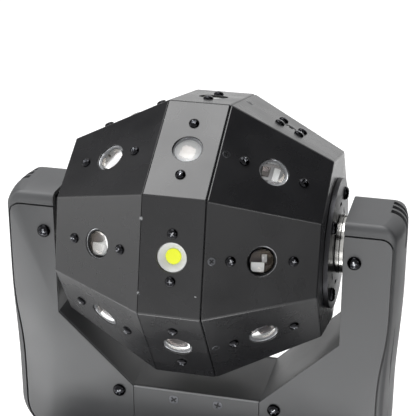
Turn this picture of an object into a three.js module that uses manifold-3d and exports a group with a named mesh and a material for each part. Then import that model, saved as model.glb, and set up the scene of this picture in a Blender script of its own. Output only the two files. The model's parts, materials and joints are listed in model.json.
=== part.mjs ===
// Football moving head light: an eight-sided head full of lamps, tilting without end
// in a two-armed yoke, which pans on a low base.
// Millimetres, +Z up, front of the lamp towards -Y, origin under the middle of the base.
import * as THREE from 'three';
import { mergeVertices } from 'three/addons/utils/BufferGeometryUtils.js';
import Module from 'manifold-3d';

const wasm = await Module();
wasm.setup();

// Clearances and counts that the whole lamp shares
const GAP = 0.3;              // between two pieces that touch on the real lamp
const RUNNING_GAP = 0.4;      // between a turning or sliding piece and its seat
const OVERRUN = 5;            // how far a cutter runs past what it cuts
const ROUND_SIDES = 20;
const SMALL_SIDES = 10;
const SCREW_SIDES = 6;
const ARC_STEPS = 2;
const COVER_STEPS = 3;
const BELT_STEPS = 8;

// Head: two tapers and a middle band, eight panels round
const PANELS = 8;
const HEAD_RADIUS = 88;       // corner radius of the middle band
const END_RADIUS = 56.35;     // corner radius of the end faces
const BAND_WIDTH = 36.3;
const HEAD_LENGTH = 155.6;    // between the two end faces, along the tilt axis
const SHEET = 2;              // wall of the head's shells
const REST_TILT = THREE.MathUtils.degToRad(12.47);
const LIP_REACH = 6.5;        // how far the left shell's lip runs under the right shell
const LIP_SHEET = 1.5;
const SHAFT_HOLE_RADIUS = 12.6;

// Lamp modules
const LENS_RADIUS = 8.3;
const LENS_HOLE_RADIUS = 8.65;
const LENS_RISE = 3;
const LENS_RIM_RADIUS = 10.5;
const LENS_RIM = 1.2;
const HOLDER_BAR = 2.2;
const HOLDER_WIDTH = 20;
const HOLDER_END = 4.5;       // bar beyond a screw's centre
const LENS_SCREW_REACH = 18;
const COB_SCREW_REACH = 13.5;
const COB_DISH_DROP = 0.6;
const COB_EMITTER_RADIUS = 4.4;
const COB_EMITTER_RISE = 0.4;
const M3_SHANK_RADIUS = 1.35;
const M3_HOLE_RADIUS = 1.9;
const M3_HEAD_RADIUS = 3;
const M3_HEAD_RISE = 1.9;
const LASER_PITCH = 13;       // square of its four screws
const LASER_BODY = 20;
const LASER_DEPTH = 15;
const LASER_TUBE_RADIUS = 2.8;
const LASER_HOLE_RADIUS = 3.2;

// Flange and hollow shaft at each end of the head
const FLANGE_RADIUS = 39;
const FLANGE_THICKNESS = 2.6;
const FLANGE_SCREWS = 4;
const FLANGE_SCREW_CIRCLE = 31.5;
const FLANGE_SLOTS = 8;
const FLANGE_SLOT_CIRCLE = 23.5;
const FLANGE_SLOT_LENGTH = 7;
const FLANGE_SLOT_WIDTH = 2.2;
const M4_SHANK_RADIUS = 1.9;
const M4_HOLE_RADIUS = 2.4;
const M4_HEAD_RADIUS = 4.1;
const M4_HEAD_RISE = 2.3;
const COLLAR_RADIUS = 20;     // shoulder of the shaft inside the head
const COLLAR_THICKNESS = 3;
const NECK_RADIUS = 12;
const HUB_RADIUS = 17.6;
const HUB_LENGTH = 5.4;
const JOURNAL_RADIUS = 10;
const SHAFT_BORE_RADIUS = 6;
const RIGHT_JOURNAL_LENGTH = 22;
const LEFT_JOURNAL_LENGTH = 11;

// Driver board inside the head
const BOARD_LENGTH = 54;
const BOARD_WIDTH = 48;
const BOARD_THICKNESS = 1.6;
const BOARD_DROP = 24;        // below the tilt axis
const BOARD_FOOT_HEIGHT = 16;
const BOARD_FOOT_WIDTH = 26;
const CHOKE = 16;
const CAPACITOR_RADIUS = 5;
const CAPACITOR_HEIGHT = 13;

// Yoke, measured from the tilt axis
const YOKE_DEPTH = 56.6;      // over the front and rear plates
const SLOPE_TOP = 53;         // below the axis, where the inner faces turn inwards
const FLOOR_DROP = 99;
const FLOOR_WIDTH = 81;
const YOKE_DROP = 140;        // underside of the crossbar
const FRAME_SHEET = 2;
const FRAME_INSET = 2.3;      // frame behind the outer face of the plates
const BOTTOM_SHEET = 2.5;
const PLATE = 2;
const PLATE_TOP = 17.7;
const PLATE_CORNER = 7;
const PLATE_MARGIN = 5;       // cover standing out beyond a plate
const PLATE_TUCK = 4.8;       // how far a plate's edge draws in lower down
const WAIST_START = 26;
const WAIST_END = 92;
const PLATE_FOOT_CORNER = 20;
const SEAM_HALF = 40.1;       // seams beside the middle front panel
const COVER_TOP = 26;
const ARM_WIDTH = 33.3;
const COVER_TUCK = 2.4;       // how far the cover draws in lower down
const COVER_CORNER = 10;
const COVER_FOOT_CORNER = 24;
const COVER_FOOT_LAP = 1.6;   // flat at the cover's foot, inside its corner
const COVER_CROWN_RADIUS = 72.8;
const COVER_TOP_ROUND = 14;
const COVER_WALL = 2.5;
const COVER_LEDGE = 2;        // thickness of the ledge behind a plate
const LEDGE_WIDTH = 4;
const VENT_SLOTS = 3;
const VENT_PITCH = 6.6;
const VENT_WIDTH = 3.4;
const VENT_REACH = 9;         // slots' length across the cover's top
const VENT_FOOT = 7;
const FLUTE_TOP = 39;
const FLUTE_CENTRE = 19;
const FLUTE_WIDTH = 11;
const FLUTE_DEPTH = 1.1;
const TAB_LENGTH = 13;
const TAB_HEIGHT = 12;
const UPPER_SCREW_INSET = 6.6;   // from an arm's inner face
const UPPER_SCREW_Z = 1.5;
const LOWER_SCREW_X = 49.4;
const LOWER_SCREW_Z = -103.3;
const PANEL_SCREW_X = 14;
const PANEL_SCREW_Z = -105.3;
const CSK_RADIUS = 3.2;
const CSK_DEPTH = 1.5;

// Bearings, belts and motors
const BEARING_RADIUS = 14;
const BEARING_FLANGE_RADIUS = 16.5;
const BEARING_FLANGE = 0.7;
const BEARING_LENGTH = 8;
const BELT_PITCH = 2;
const TILT_TEETH = 60;
const PAN_TEETH = 72;
const MOTOR_TEETH = 16;
const BELT_WIDTH = 6;
const BELT_THICKNESS = 1.4;
const BELT_SIDE_GAP = 0.5;
const PULLEY_FLANGE = 1.2;
const PULLEY_FLANGE_RISE = 2.2;
const PULLEY_PLAY = 1.6;      // between the tilt bearing and the pulley
const MOTOR_SIZE = 42;
const MOTOR_CHAMFER = 5;
const MOTOR_LENGTH = 34;
const MOTOR_BOSS_RADIUS = 11;
const MOTOR_BOSS = 1.5;
const MOTOR_SHAFT_RADIUS = 2.5;
const TILT_MOTOR_DROP = 112;
const BRACKET_REACH = 2.8;    // tilt motor's bracket beyond the arm's inner face
const BRACKET_HALF = 23;
const BRACKET_RISE = 3;       // bracket above the motor
const PAN_MOTOR_INSET = 12.7; // pan motor's shaft inside the arm's inner face
const SHELF_REACH = 10.3;     // pan motor's shelf beyond the arm's inner face
const WEB_WINDOW_HALF = 18;
const SLIP_RING_RADIUS = 11;
const SLIP_RING_LENGTH = 14;
const SLIP_PLATE = 2;
const SLIP_LEG_REACH = 26;
const SLIP_LEG_HEIGHT = 8;
const SLIP_PLATE_WIDTH = 20;

// Pan spindle and its bearing
const SPINDLE_RADIUS = 14;
const SPINDLE_BORE_RADIUS = 8;
const SPINDLE_FLANGE_RADIUS = 30;
const SPINDLE_FLANGE = 1.6;
const SPINDLE_TAIL = 12;
const PAN_BEARING_RADIUS = 19.7;
const PAN_BEARING_FLANGE_RADIUS = 26;
const PAN_BEARING_FLANGE = 1.5;

// Base
const BASE_WIDTH = 224;
const BASE_TOP_WIDTH = 206;
const BASE_DEPTH = 180;
const BASE_HEIGHT = 66;       // without its feet
const BASE_CORNER = 18;
const BASE_TOP_ROUND = 10;
const BASE_WALL = 2.6;
const FOOT_HEIGHT = 6;
const FOOT_RADIUS = 11;
const FOOT_INSET_X = 24;
const FOOT_INSET_Y = 22;
const TRAY = 2;
const CLAMP_PITCH = 106;      // between the two places for a hanging bracket
const CLAMP_HOLE_RADIUS = 4.2;
const DISPLAY_WIDTH = 66;
const DISPLAY_HEIGHT = 26;
const DISPLAY_X = -34;
const DISPLAY_Z = 40;
const DISPLAY_BEZEL = 3;
const DISPLAY_BOARD = 1.6;
const DISPLAY_DEPTH = 9;
const BUTTONS = 4;
const BUTTON_RADIUS = 4.5;
const BUTTON_PITCH = 17;
const FIRST_BUTTON_X = 22;
const BUTTON_RISE = 1.2;
const BUTTON_COLLAR = 1.2;
const BUTTON_COLLAR_RADIUS = 6;
const BUTTON_STEM_RADIUS = 2;
const BUTTON_STEM = 3;
const REAR_PANEL_WIDTH = 160;
const REAR_PANEL_HEIGHT = 40;
const REAR_PANEL_Z = 36;
const REAR_PANEL_LAP = 4;
const REAR_SHEET = 2;
const XLR_RADIUS = 9.6;
const XLR_FLANGE_WIDTH = 26;
const XLR_FLANGE_HEIGHT = 31;
const XLR_FLANGE = 1.2;
const XLR_DEPTH = 20;
const XLR_WALL = 1.6;
const XLR_X = 20;
const XLR_PITCH = 34;
const FUSE_X = -8;
const FUSE_RADIUS = 7;
const FUSE_DEPTH = 26;
const FUSE_RISE = 1.2;
const INLET_X = -46;
const INLET_WIDTH = 28;
const INLET_HEIGHT = 21;
const INLET_DEPTH = 24;
const INLET_WALL = 2.4;
const INLET_LIP = 3;
const INLET_LIP_THICKNESS = 1.2;
const INLET_PIN = 2;
const INLET_PIN_LENGTH = 12;
const INLET_PIN_PITCH = 6.8;
const SUPPLY_LENGTH = 118;
const SUPPLY_WIDTH = 62;
const SUPPLY_HEIGHT = 32;
const SUPPLY_WALL = 1.5;
const SUPPLY_POST = 5;
const SUPPLY_POST_RADIUS = 4;
const SUPPLY_SLOT_WIDTH = 3;
const SUPPLY_SLOT_PITCH = 9;
const SUPPLY_SLOT_REACH_SHARE = 0.35;

// Sizes that follow from the ones above
const PAN_GAP = SPINDLE_FLANGE + PAN_BEARING_FLANGE + 3 * GAP;
const AXIS_HEIGHT = FOOT_HEIGHT + BASE_HEIGHT + PAN_GAP + YOKE_DROP;
const PANEL_ANGLE = 2 * Math.PI / PANELS;
const FLAT_SHARE = Math.cos(PANEL_ANGLE / 2);   // flat radius over corner radius
const BAND_FLAT = HEAD_RADIUS * FLAT_SHARE;
const END_FLAT = END_RADIUS * FLAT_SHARE;
const BAND_HALF = BAND_WIDTH / 2;
const HEAD_HALF = HEAD_LENGTH / 2;
const TAPER_LENGTH = Math.hypot(HEAD_HALF - BAND_HALF, BAND_FLAT - END_FLAT);
const TAPER_OUT_SHARE = (HEAD_HALF - BAND_HALF) / TAPER_LENGTH;
const TAPER_SIDE_SHARE = (BAND_FLAT - END_FLAT) / TAPER_LENGTH;
const HUB_START = HEAD_HALF + FLANGE_THICKNESS + 2 * GAP;
const HUB_END = HUB_START + HUB_LENGTH;
const BEARING_START = HUB_END + GAP;
const BEARING_SEAT = BEARING_START + BEARING_FLANGE;
const BEARING_END = BEARING_SEAT + BEARING_LENGTH;
const TILT_PULLEY_START = BEARING_END + PULLEY_PLAY;
const ARM_GAP = 2 * (BEARING_SEAT + GAP);       // between the two arms' inner faces
const ARM_INNER = ARM_GAP / 2;
const UPPER_SCREW_X = ARM_INNER + UPPER_SCREW_INSET;
const BRACKET_FACE = ARM_INNER + BRACKET_REACH;
const SHELF_END = ARM_INNER + SHELF_REACH;
const SHELF_FOOT_X = ARM_INNER + GAP;
const PAN_MOTOR_REACH = ARM_INNER - PAN_MOTOR_INSET;   // from the pan axis to the pan motor's shaft
const COVER_OUTER = ARM_INNER + ARM_WIDTH;
const COVER_WAIST = COVER_OUTER - COVER_TUCK;
const COVER_FOOT = COVER_WAIST - COVER_FOOT_CORNER;
const COVER_FOOT_START = COVER_FOOT - COVER_FOOT_LAP;
const PLATE_OUTER = COVER_OUTER - PLATE_MARGIN;
const PLATE_WAIST = PLATE_OUTER - PLATE_TUCK;
const YOKE_FRONT = YOKE_DEPTH / 2;
const FRAME_HALF = YOKE_FRONT - FRAME_INSET;
const BASE_TOP = FOOT_HEIGHT + BASE_HEIGHT;
const TILT_PULLEY_RADIUS = TILT_TEETH * BELT_PITCH / (2 * Math.PI);
const PAN_PULLEY_RADIUS = PAN_TEETH * BELT_PITCH / (2 * Math.PI);
const MOTOR_PULLEY_RADIUS = MOTOR_TEETH * BELT_PITCH / (2 * Math.PI);
const PULLEY_LENGTH = BELT_WIDTH + 2 * (BELT_SIDE_GAP + PULLEY_FLANGE);

// Axes that a flat outline is drawn in and pushed along
const X = new THREE.Vector3(1, 0, 0);
const Y = new THREE.Vector3(0, 1, 0);
const Z = new THREE.Vector3(0, 0, 1);
const ALONG_X = new THREE.Matrix4().makeBasis(Y, Z, X);                    // outline in Y, Z
const ALONG_Y = new THREE.Matrix4().makeBasis(Z, X, Y);                    // outline in Z, X
const TURNED_ON_X = new THREE.Matrix4().makeBasis(Y, X, Z.clone().negate());
const TURNED_ON_Y = new THREE.Matrix4();
const TURNED_ON_Z = new THREE.Matrix4().makeBasis(Y, Z, X);

// A three.js geometry as a closed solid with its faces pointing outwards
function solid(geometry) {
  const bare = geometry.clone();
  bare.deleteAttribute('normal');
  bare.deleteAttribute('uv');
  const merged = mergeVertices(bare);
  const place = merged.attributes.position;
  const corner = [new THREE.Vector3(), new THREE.Vector3(), new THREE.Vector3()];
  const faces = [];
  let volume = 0;
  for (let i = 0; i < merged.index.count; i += 3) {
    const face = [0, 1, 2].map((k) => merged.index.getX(i + k));
    if (new Set(face).size === 3) {
      face.forEach((v, k) => corner[k].fromBufferAttribute(place, v));
      volume += corner[0].dot(corner[1].cross(corner[2]));
      faces.push(face);
    }
  }
  const outward = volume > 0 ? faces : faces.map(([a, b, c]) => [a, c, b]);
  return new wasm.Manifold(new wasm.Mesh({
    numProp: 3,
    vertProperties: new Float32Array(place.array),
    triVerts: new Uint32Array(outward.flat()),
  }));
}

function geometryOf(body) {
  const mesh = body.getMesh();
  const geometry = new THREE.BufferGeometry();
  geometry.setAttribute('position', new THREE.BufferAttribute(mesh.vertProperties, 3));
  geometry.setIndex(new THREE.BufferAttribute(mesh.triVerts, 1));
  geometry.computeVertexNormals();
  return geometry;
}

function joined(...bodies) {
  return bodies.reduce((whole, body) => whole.add(body));
}

function box(x0, x1, y0, y1, z0, z1) {
  const block = new THREE.BoxGeometry(x1 - x0, y1 - y0, z1 - z0);
  return solid(block.translate((x0 + x1) / 2, (y0 + y1) / 2, (z0 + z1) / 2));
}

// An outline pushed from one place to another along X (outline in Y, Z) or Z (in X, Y)
function pushed(shape, from, to, frame, curveSegments = ARC_STEPS) {
  const settings = { depth: to - from, bevelEnabled: false, curveSegments };
  const geometry = new THREE.ExtrudeGeometry(shape, settings);
  geometry.translate(0, 0, from);
  if (frame) {
    geometry.applyMatrix4(frame);
  }
  return solid(geometry);
}

function alongX(shape, from, to, curveSegments) {
  return pushed(shape, from, to, ALONG_X, curveSegments);
}

// The outline is drawn in X, Z and mirrored into Z, X, so that it is pushed along +Y
function alongY(shape, from, to, curveSegments = ARC_STEPS) {
  const outline = shape.getPoints(curveSegments).map((p) => new THREE.Vector2(p.y, p.x));
  return pushed(new THREE.Shape(outline), from, to, ALONG_Y, curveSegments);
}

function alongZ(shape, from, to, curveSegments) {
  return pushed(shape, from, to, null, curveSegments);
}

// A turned piece: its profile is pairs of radius and place along the axis
function turned(profile, frame, sides = ROUND_SIDES, start = 0) {
  const points = profile.map(([radius, along]) => new THREE.Vector2(radius, along));
  points.push(points[0].clone());
  return solid(new THREE.LatheGeometry(points, sides, start).applyMatrix4(frame));
}

function rod(radius, from, to, frame, sides = ROUND_SIDES) {
  return turned([[0, from], [radius, from], [radius, to], [0, to]], frame, sides);
}

function tube(outer, inner, from, to, frame, sides = ROUND_SIDES) {
  return turned([[inner, from], [outer, from], [outer, to], [inner, to]], frame, sides);
}

function moved(body, x, y, z) {
  return body.translate([x, y, z]);
}

function outline(points) {
  return new THREE.Shape(points.map(([u, v]) => new THREE.Vector2(u, v)));
}

function roundedRectangle(width, height, radius) {
  const shape = new THREE.Shape();
  const u = width / 2 - radius;
  const v = height / 2 - radius;
  shape.absarc(u, v, radius, 0, Math.PI / 2);
  shape.absarc(-u, v, radius, Math.PI / 2, Math.PI);
  shape.absarc(-u, -v, radius, Math.PI, 3 * Math.PI / 2);
  shape.absarc(u, -v, radius, 3 * Math.PI / 2, 2 * Math.PI);
  return shape;
}

// A line from where the outline has come to, and then an arc
function lineAndArc(shape, x, y, radius, from, to, clockwise = false) {
  shape.lineTo(x + radius * Math.cos(from), y + radius * Math.sin(from));
  shape.absarc(x, y, radius, from, to, clockwise);
}

// Pan-head screw lying along an axis: tip at one place, head standing out from another
function screw(shankRadius, headRadius, headRise, tip, seat, frame) {
  const out = Math.sign(seat - tip) * headRise;
  const profile = [
    [0, tip], [shankRadius, tip], [shankRadius, seat], [headRadius, seat],
    [headRadius - headRise / 2, seat + out], [0, seat + out],
  ];
  return turned(profile, frame, SCREW_SIDES);
}

const lamp = new THREE.Group();

function piece(parent, name, body, color, roughness, metalness) {
  const material = new THREE.MeshStandardMaterial({ color, roughness, metalness });
  const mesh = new THREE.Mesh(geometryOf(body), material);
  mesh.name = name;
  parent.add(mesh);
  return mesh;
}

// Finishes seen in the photograph, and those of the hidden works
const POWDER_COAT = [0x26272a, 0.5, 0.3];
const BLACK_ABS = [0x2c2d30, 0.55, 0];
const BLACK_STEEL = [0x17181a, 0.35, 0.6];
const CHROME = [0xc9c9c7, 0.18, 1];
const GLASS = [0xdfe6ea, 0.05, 0];
const LED_WHITE = [0xeeeeea, 0.4, 0];
const ALUMINIUM = [0xa8aaac, 0.4, 1];
const BEARING_STEEL = [0x8f9194, 0.3, 1];
const RUBBER = [0x161616, 0.85, 0];
const CIRCUIT_BOARD = [0x1f5c3a, 0.6, 0];
const ZINC_STEEL = [0x9da0a2, 0.45, 1];
const BUTTON_GREY = [0x3c3e41, 0.6, 0];

// Head. Its group turns about the tilt axis, with panel 0 facing the front
const head = new THREE.Group();
head.position.z = AXIS_HEIGHT;
head.rotation.x = -REST_TILT;
lamp.add(head);

// Flat radius of a taper's surface at a place along the axis, a depth under its outside
function taperFlat(along, depth) {
  const edge = BAND_FLAT * TAPER_OUT_SHARE + BAND_HALF * TAPER_SIDE_SHARE;
  return (edge - depth - along * TAPER_SIDE_SHARE) / TAPER_OUT_SHARE;
}

function octagonTurned(profile) {
  const corners = profile.map(([flat, along]) => [flat / FLAT_SHARE, along]);
  return turned(corners, TURNED_ON_X, PANELS, -Math.PI / 2 + PANEL_ANGLE / 2);
}

// Place of a panel's middle: side -1, 0 or 1, turn counted from the front over the top
function panelFrame(side, turn) {
  const angle = turn * PANEL_ANGLE;
  const away = new THREE.Vector3(0, -Math.cos(angle), Math.sin(angle));
  const round = new THREE.Vector3(0, Math.sin(angle), Math.cos(angle));
  const frame = new THREE.Matrix4();
  if (side === 0) {
    frame.makeBasis(round, new THREE.Vector3().crossVectors(away, round), away);
    return frame.setPosition(away.clone().multiplyScalar(BAND_FLAT));
  }
  const normal = away.clone().multiplyScalar(TAPER_OUT_SHARE).addScaledVector(X, side * TAPER_SIDE_SHARE);
  const along = away.clone().multiplyScalar(-TAPER_SIDE_SHARE).addScaledVector(X, side * TAPER_OUT_SHARE);
  frame.makeBasis(along, new THREE.Vector3().crossVectors(normal, along), normal);
  const middle = away.clone().multiplyScalar((BAND_FLAT + END_FLAT) / 2);
  return frame.setPosition(middle.addScaledVector(X, side * (BAND_HALF + HEAD_HALF) / 2));
}

function screwPlaces(reach) {
  return [[reach, 0], [-reach, 0]];
}

const CORNERS = [[1, 1], [1, -1], [-1, 1], [-1, -1]];
const LASER_PLACES = CORNERS.map((corner) => corner.map((c) => c * LASER_PITCH / 2));
const LASER_PANEL = PANELS / 4;   // a quarter turn from the front panel: the top

// What sits in each panel: its name, hole and screws
function panelFitting(side, turn) {
  if (side === 1 && turn === LASER_PANEL) {
    return { name: 'laser_module', hole: LASER_HOLE_RADIUS, screws: LASER_PLACES };
  }
  if (side === 0 && turn % 2 === 0) {
    return { name: `cob_led_${turn}`, hole: LENS_HOLE_RADIUS, screws: screwPlaces(COB_SCREW_REACH) };
  }
  const row = ['left', 'middle', 'right'][side + 1];
  return { name: `lens_${row}_${turn}`, hole: LENS_HOLE_RADIUS, screws: screwPlaces(LENS_SCREW_REACH) };
}

function panelCutter(side, turn) {
  const fitting = panelFitting(side, turn);
  const depth = SHEET + OVERRUN;
  const hole = rod(fitting.hole, -depth, OVERRUN, TURNED_ON_Z, SMALL_SIDES);
  const screwHole = rod(M3_HOLE_RADIUS, -depth, OVERRUN, TURNED_ON_Z, SCREW_SIDES);
  const holes = fitting.screws.map(([u, v]) => moved(screwHole, u, v, 0));
  return joined(hole, ...holes).transform(panelFrame(side, turn).toArray());
}

function endCutter(side) {
  const inside = HEAD_HALF - SHEET - OVERRUN;
  const outside = HEAD_HALF + OVERRUN;
  const ends = side < 0 ? [-outside, -inside] : [inside, outside];
  const bolt = rod(M4_HOLE_RADIUS, ends[0], ends[1], TURNED_ON_X, SCREW_SIDES);
  const bolts = flangePlaces().map(([y, z]) => moved(bolt, 0, y, z));
  return joined(rod(SHAFT_HOLE_RADIUS, ends[0], ends[1], TURNED_ON_X), ...bolts);
}

// The flange's screws point at the head's corners
function flangePlaces() {
  const places = [];
  for (let i = 0; i < FLANGE_SCREWS; i += 1) {
    const angle = 2 * Math.PI * i / FLANGE_SCREWS + PANEL_ANGLE / 2;
    places.push([-FLANGE_SCREW_CIRCLE * Math.cos(angle), FLANGE_SCREW_CIRCLE * Math.sin(angle)]);
  }
  return places;
}

function headShells() {
  const seam = BAND_HALF - GAP / 2;
  const lipDepth = SHEET + GAP;
  const lipEnd = BAND_HALF + LIP_REACH;
  const lipRoot = taperFlat(seam, lipDepth + LIP_SHEET);
  const innerCorner = BAND_HALF + SHEET * (TAPER_OUT_SHARE - 1) / TAPER_SIDE_SHARE;
  const innerEnd = HEAD_HALF - SHEET;
  let left = octagonTurned([
    [0, -HEAD_HALF], [END_FLAT, -HEAD_HALF], [BAND_FLAT, -BAND_HALF], [BAND_FLAT, seam],
    [taperFlat(seam, lipDepth), seam], [taperFlat(lipEnd, lipDepth), lipEnd],
    [taperFlat(lipEnd, lipDepth + LIP_SHEET), lipEnd], [lipRoot, seam],
    [lipRoot, seam - LIP_SHEET], [BAND_FLAT - SHEET, seam - LIP_SHEET],
    [BAND_FLAT - SHEET, -innerCorner], [taperFlat(innerEnd, SHEET), -innerEnd], [0, -innerEnd],
  ]);
  const edge = BAND_HALF + GAP / 2;
  let right = octagonTurned([
    [0, HEAD_HALF], [END_FLAT, HEAD_HALF], [taperFlat(edge, 0), edge],
    [taperFlat(edge, SHEET), edge], [taperFlat(innerEnd, SHEET), innerEnd], [0, innerEnd],
  ]);
  for (let turn = 0; turn < PANELS; turn += 1) {
    left = left.subtract(panelCutter(-1, turn)).subtract(panelCutter(0, turn));
    right = right.subtract(panelCutter(1, turn));
  }
  piece(head, 'head_shell_left', left.subtract(endCutter(-1)), ...POWDER_COAT);
  piece(head, 'head_shell_right', right.subtract(endCutter(1)), ...POWDER_COAT);
}

// A bar behind the panel, drawn up to it by screws from outside
function holder(places, length, width) {
  const top = -SHEET - GAP;
  const face = top - LENS_RIM;
  const bar = box(-length / 2, length / 2, -width / 2, width / 2, face - HOLDER_BAR, face);
  const tip = face - HOLDER_BAR / 2;
  const fastener = screw(M3_SHANK_RADIUS, M3_HEAD_RADIUS, M3_HEAD_RISE, tip, GAP, TURNED_ON_Z);
  return joined(bar, ...places.map(([u, v]) => moved(fastener, u, v, 0)));
}

function lensModule() {
  const seat = -SHEET - GAP - LENS_RIM;
  const half = Math.PI / 4;
  const lens = turned([
    [0, seat - HOLDER_BAR / 2], [LENS_RIM_RADIUS, seat - HOLDER_BAR / 2],
    [LENS_RIM_RADIUS, seat + LENS_RIM], [LENS_RADIUS, seat + LENS_RIM], [LENS_RADIUS, 0],
    [LENS_RADIUS * Math.cos(half), LENS_RISE * Math.sin(half)], [0, LENS_RISE],
  ], TURNED_ON_Z, SMALL_SIDES);
  const length = 2 * (LENS_SCREW_REACH + HOLDER_END);
  return lens.add(holder(screwPlaces(LENS_SCREW_REACH), length, HOLDER_WIDTH));
}

function cobModule() {
  const seat = -SHEET - GAP - LENS_RIM;
  const dish = turned([
    [0, seat - HOLDER_BAR / 2], [LENS_RADIUS, seat - HOLDER_BAR / 2], [LENS_RADIUS, -COB_DISH_DROP],
    [COB_EMITTER_RADIUS, -COB_DISH_DROP], [COB_EMITTER_RADIUS, COB_EMITTER_RISE - COB_DISH_DROP],
    [0, COB_EMITTER_RISE - COB_DISH_DROP],
  ], TURNED_ON_Z, SMALL_SIDES);
  const length = 2 * (COB_SCREW_REACH + HOLDER_END);
  return dish.add(holder(screwPlaces(COB_SCREW_REACH), length, HOLDER_WIDTH));
}

function laserModule() {
  const back = -SHEET - GAP - LENS_RIM - HOLDER_BAR;
  const nose = rod(LASER_TUBE_RADIUS, back, -GAP, TURNED_ON_Z, SMALL_SIDES);
  const half = LASER_BODY / 2;
  const body = box(-half, half, -half, half, back - LASER_DEPTH, back);
  return joined(holder(LASER_PLACES, LASER_BODY, LASER_BODY), nose, body);
}

function lampModules() {
  const shapes = { lens: lensModule(), cob: cobModule(), laser: laserModule() };
  const finishes = { lens: GLASS, cob: LED_WHITE, laser: BLACK_STEEL };
  for (const side of [-1, 0, 1]) {
    for (let turn = 0; turn < PANELS; turn += 1) {
      const { name } = panelFitting(side, turn);
      const kind = name.split('_')[0];
      const mesh = piece(head, name, shapes[kind], ...finishes[kind]);
      panelFrame(side, turn).decompose(mesh.position, mesh.quaternion, mesh.scale);
    }
  }
}

// One end's flange and shaft, drawn for the right end and mirrored for the left
function mirroredTo(side, body) {
  return side > 0 ? body : body.mirror([1, 0, 0]);
}

function endFlange() {
  const back = HEAD_HALF + GAP;
  const face = back + FLANGE_THICKNESS;
  let disc = tube(FLANGE_RADIUS, SHAFT_HOLE_RADIUS, back, face, TURNED_ON_X);
  const slot = box(
    back - OVERRUN, face + OVERRUN, -FLANGE_SLOT_LENGTH / 2, FLANGE_SLOT_LENGTH / 2,
    FLANGE_SLOT_CIRCLE - FLANGE_SLOT_WIDTH / 2, FLANGE_SLOT_CIRCLE + FLANGE_SLOT_WIDTH / 2,
  );
  for (let i = 0; i < FLANGE_SLOTS; i += 1) {
    disc = disc.subtract(slot.rotate([360 * i / FLANGE_SLOTS, 0, 0]));
  }
  const tip = HEAD_HALF - SHEET - M4_HEAD_RISE;
  const bolt = screw(M4_SHANK_RADIUS, M4_HEAD_RADIUS, M4_HEAD_RISE, tip, face, TURNED_ON_X);
  return joined(disc, ...flangePlaces().map(([y, z]) => moved(bolt, 0, y, z)));
}

function tiltShaft(journalLength) {
  const collarFace = HEAD_HALF - SHEET - GAP;
  return turned([
    [SHAFT_BORE_RADIUS, collarFace - COLLAR_THICKNESS], [COLLAR_RADIUS, collarFace - COLLAR_THICKNESS],
    [COLLAR_RADIUS, collarFace], [NECK_RADIUS, collarFace],
    [NECK_RADIUS, HUB_START], [HUB_RADIUS, HUB_START],
    [HUB_RADIUS, HUB_END], [JOURNAL_RADIUS, HUB_END], [JOURNAL_RADIUS, HUB_END + journalLength],
    [SHAFT_BORE_RADIUS, HUB_END + journalLength],
  ], TURNED_ON_X);
}

// Toothed wheel for a belt, with a flange each side, standing from one place along its axis
function pulleyProfile(radius, bore, start) {
  const end = start + PULLEY_LENGTH;
  const rim = radius + PULLEY_FLANGE_RISE;
  return [
    [bore, start], [rim, start], [rim, start + PULLEY_FLANGE], [radius, start + PULLEY_FLANGE],
    [radius, end - PULLEY_FLANGE], [rim, end - PULLEY_FLANGE], [rim, end], [bore, end],
  ];
}

function headWorks() {
  piece(head, 'end_flange_left', mirroredTo(-1, endFlange()), ...BLACK_STEEL);
  piece(head, 'end_flange_right', endFlange(), ...BLACK_STEEL);
  piece(head, 'tilt_shaft_left', mirroredTo(-1, tiltShaft(LEFT_JOURNAL_LENGTH)), ...CHROME);
  piece(head, 'tilt_shaft_right', tiltShaft(RIGHT_JOURNAL_LENGTH), ...CHROME);
  const profile = pulleyProfile(TILT_PULLEY_RADIUS, JOURNAL_RADIUS + GAP, TILT_PULLEY_START);
  piece(head, 'tilt_pulley', turned(profile, TURNED_ON_X), ...ALUMINIUM);
}

function driverBoard() {
  const wall = -HEAD_HALF + SHEET + GAP;
  const top = -BOARD_DROP;
  const foot = box(
    wall, wall + BOARD_THICKNESS, BOARD_WIDTH / 2 - BOARD_FOOT_WIDTH, BOARD_WIDTH / 2,
    top - BOARD_FOOT_HEIGHT, top,
  );
  const board = box(
    wall, wall + BOARD_LENGTH, -BOARD_WIDTH / 2, BOARD_WIDTH / 2, top - BOARD_THICKNESS, top,
  );
  const middle = wall + BOARD_LENGTH / 2;
  const choke = box(middle - CHOKE / 2, middle + CHOKE / 2, -CHOKE, 0, top, top + CHOKE);
  const can = rod(CAPACITOR_RADIUS, top - GAP, top + CAPACITOR_HEIGHT, TURNED_ON_Z, SMALL_SIDES);
  const cans = [middle - CHOKE / 2, middle + CHOKE / 2].map((x) => moved(can, x, BOARD_WIDTH / 4, 0));
  piece(head, 'head_driver_board', joined(foot, board, choke, ...cans), ...CIRCUIT_BOARD);
}

// Yoke, in its own group with the tilt axis through the middle
const yoke = new THREE.Group();
yoke.position.z = AXIS_HEIGHT;
lamp.add(yoke);

const FLOOR_HALF = FLOOR_WIDTH / 2;
const SLOPE_ANGLE = Math.atan2(ARM_INNER - FLOOR_HALF, FLOOR_DROP - SLOPE_TOP);

// Inner line of the yoke on the right, moved outwards by a depth
function innerLine(depth, top) {
  const turnShare = Math.tan(SLOPE_ANGLE / 2);
  const foldShare = Math.tan((Math.PI / 2 - SLOPE_ANGLE) / 2);
  return [
    [ARM_INNER + depth, top],
    [ARM_INNER + depth, -SLOPE_TOP - depth * turnShare],
    [FLOOR_HALF + depth * foldShare, -FLOOR_DROP - depth],
  ];
}

function mirroredLine(points) {
  return points.map(([x, z]) => [-x, z]).reverse();
}

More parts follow.
